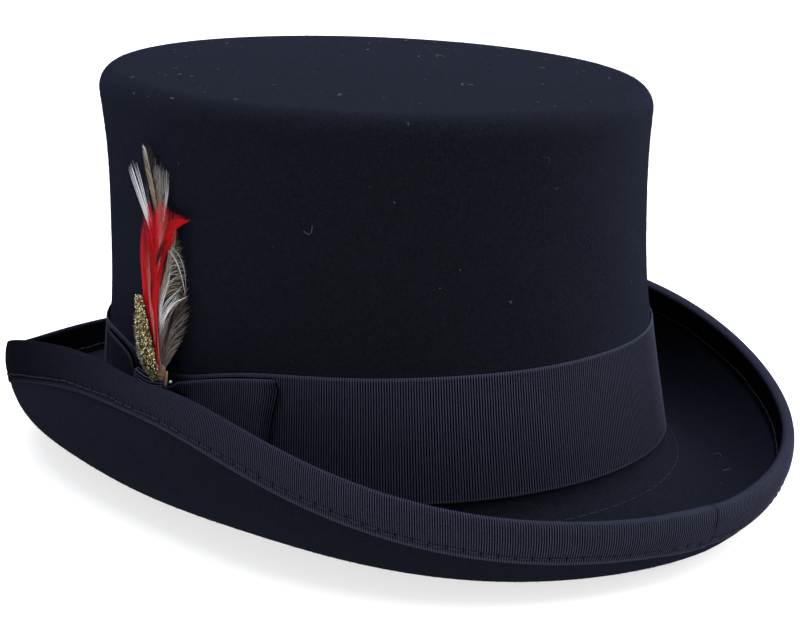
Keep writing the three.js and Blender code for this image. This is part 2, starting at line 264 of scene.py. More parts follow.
def leather_material():
    s = shader("sweatband_leather", (0.05, 0.028, 0.018), 0.48, Specular_IOR_Level=0.5, Coat_Weight=0.08)
    cells = s.node("TexVoronoi", {"Vector": s.place(), "Scale": 900.0}, feature="DISTANCE_TO_EDGE")
    grain = s.remap(cells.outputs["Distance"], 0.0, 0.12)
    worn = s.noise(30, 5, 0.6)
    base = s.blend(s.remap(worn, 0.35, 0.7), (0.034, 0.018, 0.012), (0.072, 0.04, 0.025))
    s.colour(s.blend(grain, (0.018, 0.01, 0.007), base))
    s.rough(s.remap(worn, 0.3, 0.7, 0.38, 0.58))
    s.bump(s.math("ADD", grain, s.noise(2500, 3, 0.6)), 0.00008, 0.7)
    return s.mat


def satin_material():
    dark, light = (0.006, 0.007, 0.014), (0.018, 0.02, 0.036)
    s = shader("lining_satin", light, 0.36, Specular_IOR_Level=0.5)
    where = s.node("Mapping", {"Vector": s.place(), "Scale": (1.0, 1.0, 0.12)}).outputs["Vector"]
    threads = s.noise(2600, 2, 0.5, where=where)
    slubs = s.noise(160, 2, 0.5)
    s.colour(s.blend(s.remap(threads, 0.3, 0.7), dark, light))
    s.rough(s.remap(slubs, 0.3, 0.7, 0.32, 0.42))
    s.bump(threads, 0.00001, 0.5)
    return s.mat


def plastic_material():
    s = shader("reed_plastic", (0.012, 0.012, 0.013), 0.4)
    flow = s.noise(300, 4, 0.6, 1.5)
    s.colour(s.blend(flow, (0.008, 0.008, 0.009), (0.02, 0.02, 0.022)))
    s.bump(flow, 0.00005, 0.5)
    return s.mat


def barb_material(name, roughness=0.6, sheen=0.0):
    """Feather barbs take their colour from the mesh, with fine streaks."""
    s = shader(name, (0.5, 0.5, 0.5), roughness, Sheen_Weight=sheen, Specular_IOR_Level=0.06)
    streak = s.noise(1800, 3, 0.6, 1.0)
    tint = s.attribute("tint").outputs["Color"]
    s.colour(s.blend(s.remap(streak, 0.3, 0.75, 0.0, 0.35), tint, (0.0, 0.0, 0.0), "MULTIPLY"))
    s.bump(streak, 0.00005, 0.5)
    return s.mat


def glitter_material():
    s = shader("gold_flakes", (0.8, 0.68, 0.33), 0.22, Metallic=0.9)
    s.colour(s.attribute("tint").outputs["Color"])
    s.rough(s.remap(s.noise(900, 2, 0.5), 0.3, 0.7, 0.15, 0.4))
    return s.mat


# Meshes

ATTRIBUTE_KINDS = {1: ("FLOAT", "value"), 3: ("FLOAT_VECTOR", "vector"), 4: ("FLOAT_COLOR", "color")}


def mesh_object(name, points, quads, tris, material, body="hat", **attributes):
    """A smooth mesh from points in millimetres, with heights from the break. Each attribute holds one value,
    vector or colour for every point."""
    points = np.asarray(points, float).reshape(-1, 3)
    quads = np.asarray(quads, np.int32).reshape(-1, 4)
    tris = np.asarray(tris, np.int32).reshape(-1, 3)
    data = bpy.data.meshes.new(name)
    data.vertices.add(len(points))
    placed = points + (0, 0, BREAK)
    placed[:, 2] = np.maximum(placed[:, 2], LOWEST)
    data.vertices.foreach_set("co", (placed * MM).ravel())
    loops = np.concatenate([quads.ravel(), tris.ravel()])
    starts = np.concatenate([np.arange(len(quads)) * 4, len(quads) * 4 + np.arange(len(tris)) * 3])
    data.loops.add(len(loops))
    data.loops.foreach_set("vertex_index", loops)
    data.polygons.add(len(starts))
    data.polygons.foreach_set("loop_start", starts.astype(np.int32))
    data.update(calc_edges=True)
    data.validate()
    data.shade_smooth()
    for key, values in attributes.items():
        values = np.asarray(values, float).reshape(len(points), -1)
        kind, field = ATTRIBUTE_KINDS[values.shape[1]]
        data.attributes.new(key, kind, "POINT").data.foreach_set(field, values.ravel())
    ob = linked(name, data)
    data.materials.append(material)
    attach(ob, body)
    return ob


def lattice(rows, cols, close_rows=False):
    """Quads of a grid of points, row by row. Each row is a closed ring."""
    r = np.arange(rows if close_rows else rows - 1)[:, None]
    c = np.arange(cols)[None, :]
    r2, c2 = (r + 1) % rows, (c + 1) % cols
    return np.stack([r * cols + c, r * cols + c2, r2 * cols + c2, r2 * cols + c], -1).reshape(-1, 4)


def volume(points, quads):
    a, b, c, d = (points[quads[:, k]] for k in range(4))
    return (np.einsum("ij,ij->i", a, np.cross(b, c)) + np.einsum("ij,ij->i", a, np.cross(c, d))).sum()


NO_TRIANGLES = np.zeros((0, 3), int)


def turned_out(points, quads, tris):
    """The faces of a closed surface, all turned to face outward."""
    if volume(points, quads) < 0:
        return quads[:, ::-1], tris[:, ::-1]
    return quads, tris


def swept(name, rows, material, close_rows=True, poles=(), **attributes):
    """Rows of points that each run round the hat. poles are points that close the first or last row."""
    rows = np.asarray(rows)
    count, cols = rows.shape[:2]
    points = rows.reshape(-1, 3)
    quads = lattice(count, cols, close_rows)
    ring = np.arange(cols)
    tris = []
    for pole, row in poles:
        points = np.vstack([points, pole])
        tip = np.full(cols, len(points) - 1)
        a, b = row * cols + ring, row * cols + (ring + 1) % cols
        tris.append(np.stack([tip, b, a] if row == 0 else [a, b, tip], -1))
    tris = np.concatenate(tris) if tris else NO_TRIANGLES
    return mesh_object(name, points, *turned_out(points, quads, tris), material, **attributes)


def capped(name, rows, material):
    """A tube from rows of points, with a fan over each end."""
    count, cols = rows.shape[:2]
    points = rows.reshape(-1, 3)
    i = np.arange(1, cols - 1)
    fan = np.stack([0 * i, i, i + 1], -1)
    tris = np.vstack([fan[:, ::-1], fan + (count - 1) * cols])
    return mesh_object(name, points, *turned_out(points, lattice(count, cols), tris), material)


def tubes(paths, widths, colours, sides=3, flat=1.0):
    """Closed tubes along paths (n, k, 3), with widths (n, k). Returns points, quads, tris and colours.
    flat squeezes them along X, which is away from the crown for the feathers."""
    n, k = paths.shape[:2]
    run = unit(np.gradient(paths, axis=1), 1e-12)
    side = unit(np.cross(run, np.array([1.0, 0, 0])), 1e-9)
    top = np.cross(side, run)
    turn = np.arange(sides) / sides * TAU + 0.3
    ring = side[:, :, None] * np.cos(turn)[None, None, :, None]
    ring = ring + flat * top[:, :, None] * np.sin(turn)[None, None, :, None]
    points = paths[:, :, None] + ring * widths[:, :, None, None] / 2
    base = (np.arange(n) * k * sides)[:, None, None]
    j, i = np.arange(k - 1)[None, :, None], np.arange(sides)[None, None, :]
    i2 = (i + 1) % sides
    corner = lambda a, b: (base + a * sides + b + 0 * i).reshape(-1)
    quads = np.stack([corner(j, i), corner(j, i2), corner(j + 1, i2), corner(j + 1, i)], -1)
    caps = []
    for m in range(1, sides - 1):
        start, end = base.ravel(), base.ravel() + (k - 1) * sides
        caps.append(np.stack([start, start + m + 1, start + m], -1))
        caps.append(np.stack([end, end + m, end + m + 1], -1))
    tints = np.repeat(colours[:, :, None], sides, 2).reshape(-1, 4)
    return points.reshape(-1, 3), quads, np.concatenate(caps), tints


def thread_tubes(path, number, width, colour, sides=6):
    """A number of equal stitches whose points follow one another in path."""
    path = path.reshape(number, -1, 3)
    size = path.shape[:2]
    return tubes(path, np.full(size, width), np.ones((*size, 4)) * (*colour, 1), sides)


def stitch_places(number, share, angle):
    """Places round the hat of stitches, at shares of each one's pitch, as columns and as angles."""
    column = ((np.arange(number)[:, None] + share) / number * len(angle)).ravel()
    return column, np.interp(column, np.arange(len(angle)), angle)


def tube_object(name, batches, material, body="hat"):
    """One mesh from several batches of tubes."""
    points, quads, tris, tints, start = [], [], [], [], 0
    for p, q, t, c in batches:
        points.append(p)
        quads.append(q + start)
        tris.append(t + start)
        tints.append(c)
        start += len(p)
    join = np.concatenate
    return mesh_object(name, join(points), join(quads), join(tris), material, body, tint=join(tints))


# Surfaces of the hat

def draw_in(height):
    return -WAIST * np.sin(math.pi / WAIST_SPAN * height / SIDE)


def crown_point(angle, height, offset):
    y = (PLAN_Y + offset) * np.sin(angle)
    saddle = SADDLE * np.cos(angle) ** 2 * (1 - height / CROWN)
    z = height + saddle + TIP_SLOPE * y * height / CROWN
    x = (PLAN_X + offset) * np.cos(angle)
    return np.stack(np.broadcast_arrays(x, y, z), -1)


def side_point(angle, height, out):
    """out counts outward from the felt's outside face."""
    return crown_point(angle, height, draw_in(height) + out)


def crown_rows(angle, depth, side_steps, edge_steps, tip_steps, start=0.0):
    """Rows from the side up over the rounded edge towards the middle of the tip, and the middle itself."""
    lean = math.atan(WAIST * math.pi / WAIST_SPAN / SIDE * -math.cos(math.pi / WAIST_SPAN))
    radius = TIP_EDGE - depth
    top = SIDE - TIP_EDGE * math.sin(lean)
    rows = [side_point(angle, h, -depth) for h in np.linspace(start, top, side_steps)]
    inner = draw_in(top) - TIP_EDGE * math.cos(lean)
    for turn in np.linspace(-lean, math.pi / 2, edge_steps + 1)[1:]:
        rows.append(crown_point(angle, SIDE + radius * math.sin(turn), inner + radius * math.cos(turn)))

    def tip(share):
        x = share * (PLAN_X + inner) * np.cos(angle)
        y = share * (PLAN_Y + inner) * np.sin(angle)
        height = CROWN - depth + TIP_RISE * (1 - share ** 2) ** 1.15
        return np.stack([x, y, height + TIP_SLOPE * y], -1)

    rows += [tip(share) for share in np.linspace(1, 0, tip_steps + 1)[1:-1]]
    return rows, (0, 0, CROWN - depth + TIP_RISE)


class Brim:
    """The brim's section at many angles round the hat, followed outward from the crown in small steps."""

    STEP, REACH = 0.25, 72

    def __init__(self, angle):
        self.angle = angle
        side = (np.abs(np.cos(angle)) ** SIDE_BLEND)[:, None]
        corner = (np.sin(2 * angle) ** 2)[:, None]
        shape = mix(BRIM_ENDS, BRIM_SIDES, side) + BRIM_CORNERS * corner
        self.start, self.finish, self.width, self.power = shape.T
        s = (np.arange(int(self.REACH / self.STEP)) + 0.5) * self.STEP
        pitch = self.pitch(s[None, :])
        zero = np.zeros((len(angle), 1))
        self.r = np.hstack([zero, np.cumsum(np.cos(pitch), 1) * self.STEP]) - FELT / 2
        self.z = np.hstack([zero, np.cumsum(np.sin(pitch), 1) * self.STEP])
        self.z += SADDLE * np.cos(angle)[:, None] ** 2
        rise = sum(h * np.exp(-((wrapped(angle) - at) / spread) ** 2) for h, at, spread in LIFTS)
        along = np.arange(self.z.shape[1]) * self.STEP
        self.z += rise[:, None] * np.clip((along - BREAK_ARC) / (self.width[:, None] - BREAK_ARC), 0, 1) ** 4
        out = np.stack([np.cos(angle) / PLAN_X, np.sin(angle) / PLAN_Y], -1)
        self.out = unit(out)

    def pitch(self, s):
        start, finish = self.start[:, None], self.finish[:, None]
        share = np.maximum((s - BREAK_ARC) / (self.width[:, None] - BREAK_ARC), 0) ** self.power[:, None]
        near = mix(-90.0, start, s / BREAK_ARC)
        return np.radians(np.where(s < BREAK_ARC, near, mix(start, finish, share)))

    def point(self, s, lift, past=0.0):
        """Points s along the section, lifted off its middle and carried past it."""
        s = np.broadcast_to(s, self.angle.shape)
        at = s / self.STEP
        k = np.minimum(at.astype(int), self.r.shape[1] - 2)
        f, row = at - k, np.arange(len(self.angle))
        r = mix(self.r[row, k], self.r[row, k + 1], f)
        z = mix(self.z[row, k], self.z[row, k + 1], f)
        pitch = self.pitch(s[:, None])[:, 0]
        r = r + past * np.cos(pitch) - lift * np.sin(pitch)
        z = z + past * np.sin(pitch) + lift * np.cos(pitch)
        x = PLAN_X * np.cos(self.angle) + self.out[:, 0] * r
        y = PLAN_Y * np.sin(self.angle) + self.out[:, 1] * r
        return np.stack([x, y, z], -1)


def even_angles(curve, count):
    """Angles at equal distances along a closed curve, and its length."""
    t = np.linspace(0, TAU, 6001)
    length = np.concatenate([[0], np.cumsum(np.linalg.norm(np.diff(curve(t), axis=0), axis=1))])
    return np.interp(np.arange(count) / count * length[-1], length, t), length[-1]


def arc_angle(arc):
    """The angle at an arc length from the middle of the wearer's left side."""
    return np.asarray(arc) / PLAN_Y


# Felt

FELT_COLUMNS = 400
SIDE_ROWS, BRIM_ROWS, BEND_ROWS = 44, 44, 8
NAP_FIBRES, LINT_BITS = 46000, 170


def undulation(angle, height):
    """Slight unevenness of blocked felt, in millimetres."""
    waves = 0.16 * np.sin(3 * angle + 0.05 * height + 1.1) + 0.12 * np.sin(7 * angle - 0.09 * height)
    return waves + 0.09 * np.sin(13 * angle + 0.13 * height + 2.0)


def felt_hood(material):
    angle, _ = even_angles(lambda t: crown_point(t, 20.0, 0.0), FELT_COLUMNS)
    brim = Brim(angle)
    outside, top = crown_rows(angle, 0.0, SIDE_ROWS, 12, 26)
    inside, roof = crown_rows(angle, FELT, 22, 8, 12)
    flat = np.stack([np.cos(angle), np.sin(angle), 0 * angle], -1)
    for k, h in enumerate(np.linspace(0, SIDE, SIDE_ROWS)):
        waves = undulation(angle, h) * smooth(0, 30, h) * smooth(SIDE, 90, h)
        outside[k] = outside[k] + flat * waves[:, None]
    places = list(np.linspace(0, BREAK_ARC, BEND_ROWS)[1:-1])
    places += [mix(BREAK_ARC, brim.width, share) for share in np.linspace(0, 1, BRIM_ROWS)]
    upper, lower = ([brim.point(s, side * FELT / 2) for s in places] for side in (1, -1))
    rows = inside[::-1] + lower + [brim.point(brim.width, 0.0, 0.35)] + upper[::-1] + outside
    count = len(rows)
    hood = swept("felt_hood", rows, material, False, poles=((roof, 0), (top, count - 1)))
    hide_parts("felt_body")
    return np.array(rows)[len(inside):]


def laid(normal, spread):
    """Random directions along a surface, and how far each fibre curls to the side."""
    lie = unit(np.cross(normal, rng.normal(size=normal.shape)))
    return lie, np.cross(normal, lie) * rng.normal(0, spread, (len(normal), 1))


def fibre_colours(low, high, colour, count, steps):
    tone = np.repeat(rng.uniform(low, high, (count, 1, 1)) * np.array([*colour, 1]), steps, 1)
    tone[..., 3] = 1
    return tone


def nap(shown, material):
    """Short loose fibres on the felt's outside rows, and a few pale bits of lint."""
    a, b = shown[:-1], shown[1:]
    right = np.roll(a, -1, 1) - a
    up = b - a
    normal = np.cross(right, up)
    area = np.linalg.norm(normal, axis=2)
    normal = unit(normal, 1e-9)
    pick = rng.choice(area.size, NAP_FIBRES, p=(area / area.sum()).ravel())
    r, c = np.unravel_index(pick, area.shape)
    f, g = rng.random((2, len(pick), 1))
    start = a[r, c] + right[r, c] * f + up[r, c] * g
    n = faced(normal[r, c], start)
    lie, bend = laid(n, 0.5)
    length = rng.uniform(0.5, 1.7, (len(pick), 1))
    height = rng.uniform(0.05, 0.5, (len(pick), 1)) ** 1.3
    steps = np.linspace(0, 1, 4)[None, :, None]
    path = start[:, None] + (lie * length)[:, None] * steps + (bend * length)[:, None] * steps ** 2
    path = path + n[:, None] * (height[:, None] * np.sin(steps * 2.4) - 0.06)
    widths = np.full((len(pick), 4), 0.05) * np.array([1, 1, 0.8, 0.4])
    colours = fibre_colours(0.6, 1.9, (0.0085, 0.0092, 0.013), len(pick), 4)
    coat = tube_object("felt_nap", [tubes(path, widths, colours)], material)

    height = a[..., 2]
    favour = 0.25 + 2.2 * smooth(70, 115, height) + 0.5 * (a[..., 0] < -40)
    favour = area * (np.abs(height - 18) > 24) * favour
    pick = rng.choice(area.size, LINT_BITS, p=(favour / favour.sum()).ravel())
    r, c = np.unravel_index(pick, area.shape)
    start = a[r, c]
    n = faced(normal[r, c], start)
    lie, curl = laid(n, 0.7)
    length = rng.choice([0.5, 0.8, 1.6, 3.2], (len(pick), 1), p=[0.45, 0.3, 0.17, 0.08])
    steps = np.linspace(0, 1, 8)[None, :, None]
    path = start[:, None] + (lie * length)[:, None] * steps + (curl * length)[:, None] * np.sin(steps * 3)
    path = path + n[:, None] * (0.25 + 0.35 * np.sin(steps * 3.1) * length[:, None] / 2)
    colours = fibre_colours(0.03, 0.17, (1, 1.02, 1.1), len(pick), 8)
    lint = tube_object("felt_lint", [tubes(path, np.full((len(pick), 8), 0.13), colours)], material)


def faced(normal, place):
    """Normals turned to the side where, roughly, the open air lies from places on the felt."""
    angle = np.arctan2(place[:, 1] / PLAN_Y, place[:, 0] / PLAN_X)
    open_air = np.stack([np.cos(angle), np.sin(angle), np.full(len(place), 0.35)], -1)
    return normal * np.where(np.einsum("ij,ij->i", normal, open_air) < 0, -1.0, 1.0)[:, None]


# Grosgrain trim

RIB, FINE_RIB = 0.785, 0.68  # from one rib to the next, on the hatband and bow and on the binding
RIB_COLUMNS = 4
KNOT_ARC, KNOT_REACH = -2.0, 6


def ribs(columns, per):
    """1 on a rib's ridge and 0 in the valley, column by column."""
    return 0.5 + 0.5 * np.cos(np.arange(columns) % per / per * TAU)


def across_ribbon(width, count):
    """Places across a ribbon, close together at its two edges."""
    edge = np.array([0, 0.12, 0.4, 0.75, 1.1])
    inner = np.linspace(0, 1, count + 2)[1:-1, None]
    low = edge[:, None] + 0 * width
    return np.vstack([low, mix(1.1, width - 1.1, inner), width - edge[::-1, None]])


def light_by_knot(angle, share):
    """The ribbon's tone beside the knot, which shades it."""
    away = np.maximum(np.abs(wrapped(angle) * PLAN_Y - KNOT_ARC) - KNOT_REACH, 0)
    return 1 - share * np.exp(-(away / 11) ** 2)


def edge_shape(place, width):
    """For places across a ribbon: how proud the face is, how deep the ribs are, and the selvage share."""
    inset = np.minimum(place, width - place)
    proud = np.sqrt(np.clip(inset / 0.3, 0, 1))
    selvage = smooth(0.95, 0.7, inset)
    return proud, mix(0.13, 0.17, selvage), selvage


def band_top(angle):
    """Height of the hatband's top edge, which dips behind the bow and again in front of it."""
    away = np.abs(wrapped(angle) * PLAN_Y - KNOT_ARC)
    behind_bow = BAND_TOP - 1.6 * np.exp(-(away / 75) ** 2) - 6.2 * np.exp(-(away / 27) ** 2)
    return behind_bow - 6.6 * np.exp(-((wrapped(angle) + 0.8) / 0.4) ** 2)


def ribbon_rows(place_on, width, out, thick, columns, count):
    """Rows of a ribbon that stands on a surface: its outer face from the low edge up, then its back.
    place_on(height, out) gives a row. Returns the rows and the cloth and edge attributes."""
    rib = ribs(columns, RIB_COLUMNS)
    along = np.arange(columns) / RIB_COLUMNS * RIB
    rows, cloth, edge = [], [], []
    for place in across_ribbon(width, count):
        proud, depth, selvage = edge_shape(place, width)
        height = out + thick * mix(0.4, 1.0, proud) + depth * (rib - 0.6) * mix(0.5, 1, proud)
        rows.append(place_on(place, height))
        cloth.append(np.stack([along, place, rib], -1))
        edge.append(selvage)
    # The back rows get rib 0, so the near-black valley colour: painted full shade.
    for place in (width - 0.02, width / 2, 0.02 + 0 * width):
        rows.append(place_on(place, out + 0 * rib))
        cloth.append(np.stack([along, place, 0 * rib], -1))
        edge.append(0 * rib)
    return rows, cloth, edge


def hatband(material):
    middle = lambda t: side_point(t, 19.0, 0.5)
    count = round(even_angles(middle, 8)[1] / RIB) * RIB_COLUMNS
    angle, _ = even_angles(middle, count)
    width = band_top(angle) - BAND_BOTTOM
    slack = 0.16 * np.sin(5 * angle + 0.6) + 0.1 * np.sin(11 * angle)
    bulge = 1.0 * np.exp(-((wrapped(angle) + 0.8) / 0.18) ** 2)

    def on_crown(place, out):
        share = place / BAND_TOP
        loose = out + slack * share * share + bulge * smooth(0, 0.6, share)
        return side_point(angle, BAND_BOTTOM + place, loose + 0.12)

    rows, cloth, edge = ribbon_rows(on_crown, width, 0.1, 0.5, count, 9)
    # Painted light and shade: lighter on the bow's side, darker round the back and the wearer's right, and
    # darker beside the knot.
    light = light_by_knot(angle, 0.7) * mix(1.1, 0.75, smooth(0.9, 2.0, np.abs(wrapped(angle))))
    band = swept("hatband_ribbon", rows, material, cloth=cloth, edge=edge, light=np.tile(light, len(rows)))
    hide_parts("hatband")


STITCH, STITCH_INSET, STITCH_POINTS = 4.6, 9.0, 9
BINDING_COLUMNS, BINDING_FOLD, LAP_THICK = 3, 0.52, 0.35
# The stitches on the inner leg are the same thread painted in that leg's shade, about 0.12 as light as the
# outer ones.
PALE_STITCH, SHADED_STITCH = (0.05, 0.051, 0.062), (0.006, 0.006, 0.009)
JOIN = math.radians(87)  # where the binding's ends overlap, at the back


def stitch_wander(arc):
    return 0.22 * np.sin(arc / 17.0) + 0.15 * np.sin(arc / 5.3 + 1)


def rim_angles(count):
    def rim(t):
        brim = Brim(t)
        return brim.point(brim.width, 0.0)
    return even_angles(rim, count)


def binding(material, thread):
    _, length = rim_angles(8)
    count = round(length / FINE_RIB) * BINDING_COLUMNS
    angle, _ = rim_angles(count)
    brim = Brim(angle)
    arc = np.arange(count) / count * length
    rib = ribs(count, BINDING_COLUMNS)
    holes = np.abs((arc / STITCH + 0.5) % 1 - 0.5) * STITCH
    lap = smooth(JOIN + 0.004, JOIN, angle) * smooth(JOIN - 0.13, JOIN - 0.09, angle)
    rows, cloth, edge, light = [], [], [], []
    # Painted shade: seam is a dark line beside the lapped end's edge, and front darkens the ribbon round the
    # front towards the wearer's left.
    seam = 1 - 0.8 * np.exp(-((wrapped(angle) - JOIN - 0.003) / 0.004) ** 2)
    front = 1.05 - 0.9 * np.exp(-((wrapped(angle) + 0.85) / 0.9) ** 2)

    def leg(inset, side):
        from_edge = np.maximum(BINDING_LEG - inset, 0)
        proud, depth, selvage = edge_shape(from_edge + 0 * arc, 99)
        near = np.abs(inset - STITCH_INSET - stitch_wander(arc))
        pulled = np.exp(-(near / 0.8) ** 2) * (0.16 + 0.3 * np.exp(-(holes / 0.5) ** 2))
        puff = 0.22 * smooth(0.6, 3.5, STITCH_INSET - inset) * smooth(0, 2, inset)
        thick = (0.42 + LAP_THICK * lap) * mix(0.4, 1, proud)
        out = 0.1 + thick + depth * 0.8 * (rib - 0.6) - pulled + puff
        rows.append(brim.point(brim.width - inset, side * (FELT / 2 + out)))
        cloth.append(np.stack([arc, from_edge + 0 * arc, rib], -1))
        edge.append(selvage)
        # Painted shade: darker in the stitch dimples, and the inner leg painted at 0.12 of the outer leg's
        # light.
        dimple_shade = 1 - 0.85 * np.exp(-(near / 0.5) ** 2) * np.exp(-(holes / 0.5) ** 2)
        light.append(front * seam * dimple_shade * (1 if side < 0 else 0.12))

    insets = [11.3, 11.18, 10.9, 10.5, 10.0, 9.6, 9.3, 9.0, 8.6, 8.0, 7.0, 5.6, 4.2, 2.8, 1.4]
    for inset in insets:  # the leg under the brim, which is its outside
        leg(inset, -1)
    for turn in np.radians(np.linspace(-90, 90, 9)):
        half = FELT / 2 + BINDING_FOLD + LAP_THICK * lap + 0.07 * (rib - 0.6)
        past = (0.75 + 0.3 * lap + 0.07 * (rib - 0.6)) * math.cos(turn) ** 0.8
        rows.append(brim.point(brim.width, half * math.sin(turn), past))
        cloth.append(np.stack([arc, 12 + 2 * turn + 0 * arc, rib], -1))
        edge.append(0 * arc)
        # Painted shade: the fold darkens towards the inner leg.
        light.append(front * seam * mix(1, 0.15, smooth(0, 1.3, turn)))
    for inset in insets[::-1]:
        leg(inset, 1)
    # The back rows, against the felt, are painted in full shade: light 0 and the valley colour.
    for inset, side in ((11.28, 1), (5, 1), (0, 1), (0, -1), (5, -1), (11.28, -1)):
        rows.append(brim.point(brim.width - inset, side * (FELT / 2 + 0.08)))
        cloth.append(np.stack([arc, 0 * arc, 0 * arc], -1))
        edge.append(0 * arc)
        light.append(0 * arc)
    ribbon = swept("binding_ribbon", rows, material, cloth=cloth, edge=edge, light=light)
    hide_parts("brim_binding")

    number = round(length / STITCH)
    share = np.linspace(0.05, 0.95, STITCH_POINTS)
    at = (np.arange(number)[:, None] + share) * STITCH
    sides = Brim(np.interp(at.ravel(), arc, angle))
    batches = []
    depth = 0.62 - 0.55 * np.abs(2 * share - 1) ** 3
    # The inner leg's stitches take the painted-shade copy of the thread colour.
    for side, colour in ((-1, PALE_STITCH), (1, SHADED_STITCH)):
        lift = np.tile(FELT / 2 + depth, number) * side
        uneven = 0.12 * np.repeat(rng.normal(size=number), STITCH_POINTS)
        path = sides.point(sides.width - (STITCH_INSET + stitch_wander(at.ravel()) + uneven), lift)
        batches.append(thread_tubes(path, number, 0.3, colour))
    stitches = tube_object("binding_stitches", batches, thread)


BOW_HALF, BOW_LOW, BOW_HIGH, BOW_OFF = 48.5, 2.5, 36.0, 4.6


def bow(material):
    """A ribbon loop pinched in the middle, its outer layer slightly bellied."""
    turn = np.linspace(0, TAU, 3001)
    pinch_at = lambda arc: np.exp(-(np.maximum(0, np.abs(arc - KNOT_ARC) - 7) / 9) ** 2)

    def path(turn):
        along = -np.cos(turn)
        arc = KNOT_ARC + BOW_HALF * along
        pinch = pinch_at(arc)
        front = -np.sign(np.sin(turn)) * np.abs(np.sin(turn)) ** 0.4
        loose = mix(0.2, 0.45, smooth(-0.1, 0.1, along))
        belly = 1.1 * loose * np.sin(np.clip(np.abs(along), 0, 1) * math.pi) * (front > 0)
        hollow = mix(2.0 * loose, 0.5, pinch) / 2 + 0.2
        off = mix(1.15, BOW_OFF, pinch) + hollow + front * hollow + belly * (1 - pinch)
        return arc, off, pinch, along, front

    arc, off, *_ = path(turn)
    length = np.concatenate([[0], np.cumsum(np.hypot(np.diff(arc), np.diff(off)))])
    count = round(length[-1] / RIB) * RIB_COLUMNS
    even = np.interp(np.arange(count) / count * length[-1], length, turn)
    arc, off, pinch, along, front = path(even)
    low = BOW_LOW + 4 * pinch
    width = np.minimum(BOW_HIGH - 8 * pinch, band_top(arc_angle(arc)) - 1.0) - low
    run = np.gradient(np.stack([arc, off], -1), axis=0)
    run /= np.linalg.norm(run, axis=1, keepdims=True)
    normal = np.stack([-run[:, 1], run[:, 0]], -1)
    normal *= np.sign((normal * np.stack([along, front], -1)).sum(1))[:, None]

    def on_band(place, out):
        share = place / width
        pleat = 0.55 * pinch ** 0.8 * np.cos(share * TAU * 3.0) * (pinch < 0.985)
        slant = np.sign(along) * np.abs(along) ** 6 * (1.6 * smooth(0.55, 1, share) - 3.4 * (1 - share))
        corner = -1.6 * np.abs(along) ** 8 * np.sign(along) * smooth(0.86, 1.0, share) ** 2
        a = arc + slant + corner + normal[:, 0] * out
        o = off + normal[:, 1] * out + pleat
        return side_point(arc_angle(a), low + place, o)

    rows, cloth, edge = ribbon_rows(on_band, width, 0.0, 0.38, count, 14)
    # Painted light and shade: darker where the bow is pinched into the knot, the front loop darker and the
    # rear loop lighter, and darker towards both loop ends.
    light = (1 - 0.8 * pinch ** 0.7) * np.where(arc < KNOT_ARC, 0.8, 1.45)
    light = light * (1 - 0.6 * smooth(0.86, 1.0, np.abs(along)))
    loop = swept("bow_ribbon", rows, material, cloth=cloth, edge=edge, light=np.tile(light, len(rows)))
    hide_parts("bow_loop")


KNOT_WIDTH, KNOT_MIDDLE, KNOT_RISE, KNOT_HALF = 16.0, KNOT_ARC - 1, 3.0, 1.35


def knot(material):
    """A short ribbon round the bow's waist, larger than the CAD's. Its ribs run along the hat's side."""
    low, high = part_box("bow_knot")
    bottom, top = low.z / MM - BREAK + 0.4, high.z / MM - BREAK + KNOT_RISE
    half_up = (top - bottom) / 2 - 0.2
    turn = np.linspace(0, TAU, 2001)

    def outline(t):
        out = KNOT_HALF * np.sign(np.cos(t)) * np.abs(np.cos(t)) ** 0.7
        return out, half_up * np.sign(np.sin(t)) * np.abs(np.sin(t)) ** 0.55

    out, up = outline(turn)
    length = np.concatenate([[0], np.cumsum(np.hypot(np.diff(out), np.diff(up)))])
    count = round(length[-1] / RIB) * RIB_COLUMNS
    even = np.interp(np.arange(count) / count * length[-1], length, turn)
    out, up = outline(even)
    run = np.stack([np.gradient(out), np.gradient(up)], -1)
    run /= np.linalg.norm(run, axis=1, keepdims=True)
    normal = np.stack([run[:, 1], -run[:, 0]], -1)
    middle = (bottom + top) / 2

    def wrapped_round(place, proud):
        share = place / KNOT_WIDTH * 2 - 1
        waist = 1 - 0.05 * np.cos(share * math.pi / 2) * (1 + 0.6 * np.sin(up / 6))
        puckers = 0.13 * np.sin(place * 2.1 + up * 0.15) * (out > 0)
        a = KNOT_MIDDLE + KNOT_WIDTH / 2 * share * (1 - 0.05 * np.cos(up / half_up * math.pi / 2))
        o = BOW_OFF + 0.75 + (out * (1 - 0.12 * share ** 2) + normal[:, 0] * proud + puckers)
        return side_point(arc_angle(a), middle + (up + normal[:, 1] * proud) * waist, o)

    rows, cloth, edge = ribbon_rows(wrapped_round, np.full(count, KNOT_WIDTH), 0.0, 0.4, count, 11)
    # Painted light: the knot's ribs are painted 1.3 times as light as the plain ribbon.
    light = np.full((len(rows), count), 1.3)
    piece = swept("knot_ribbon", rows, material, cloth=cloth, edge=edge, light=light)
    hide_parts("bow_knot")


# Sweatband and lining

LINING_DEPTH = FELT + 0.3
LEATHER_DEPTH = LINING_DEPTH + 0.8
LINING_HEM, LINING_TOP = 9.0, SIDE - 4
LINING_STITCHES, SWEAT_STITCHES, BRIM_STITCH = 150, 170, 4.2
WALL_COLUMNS = 720


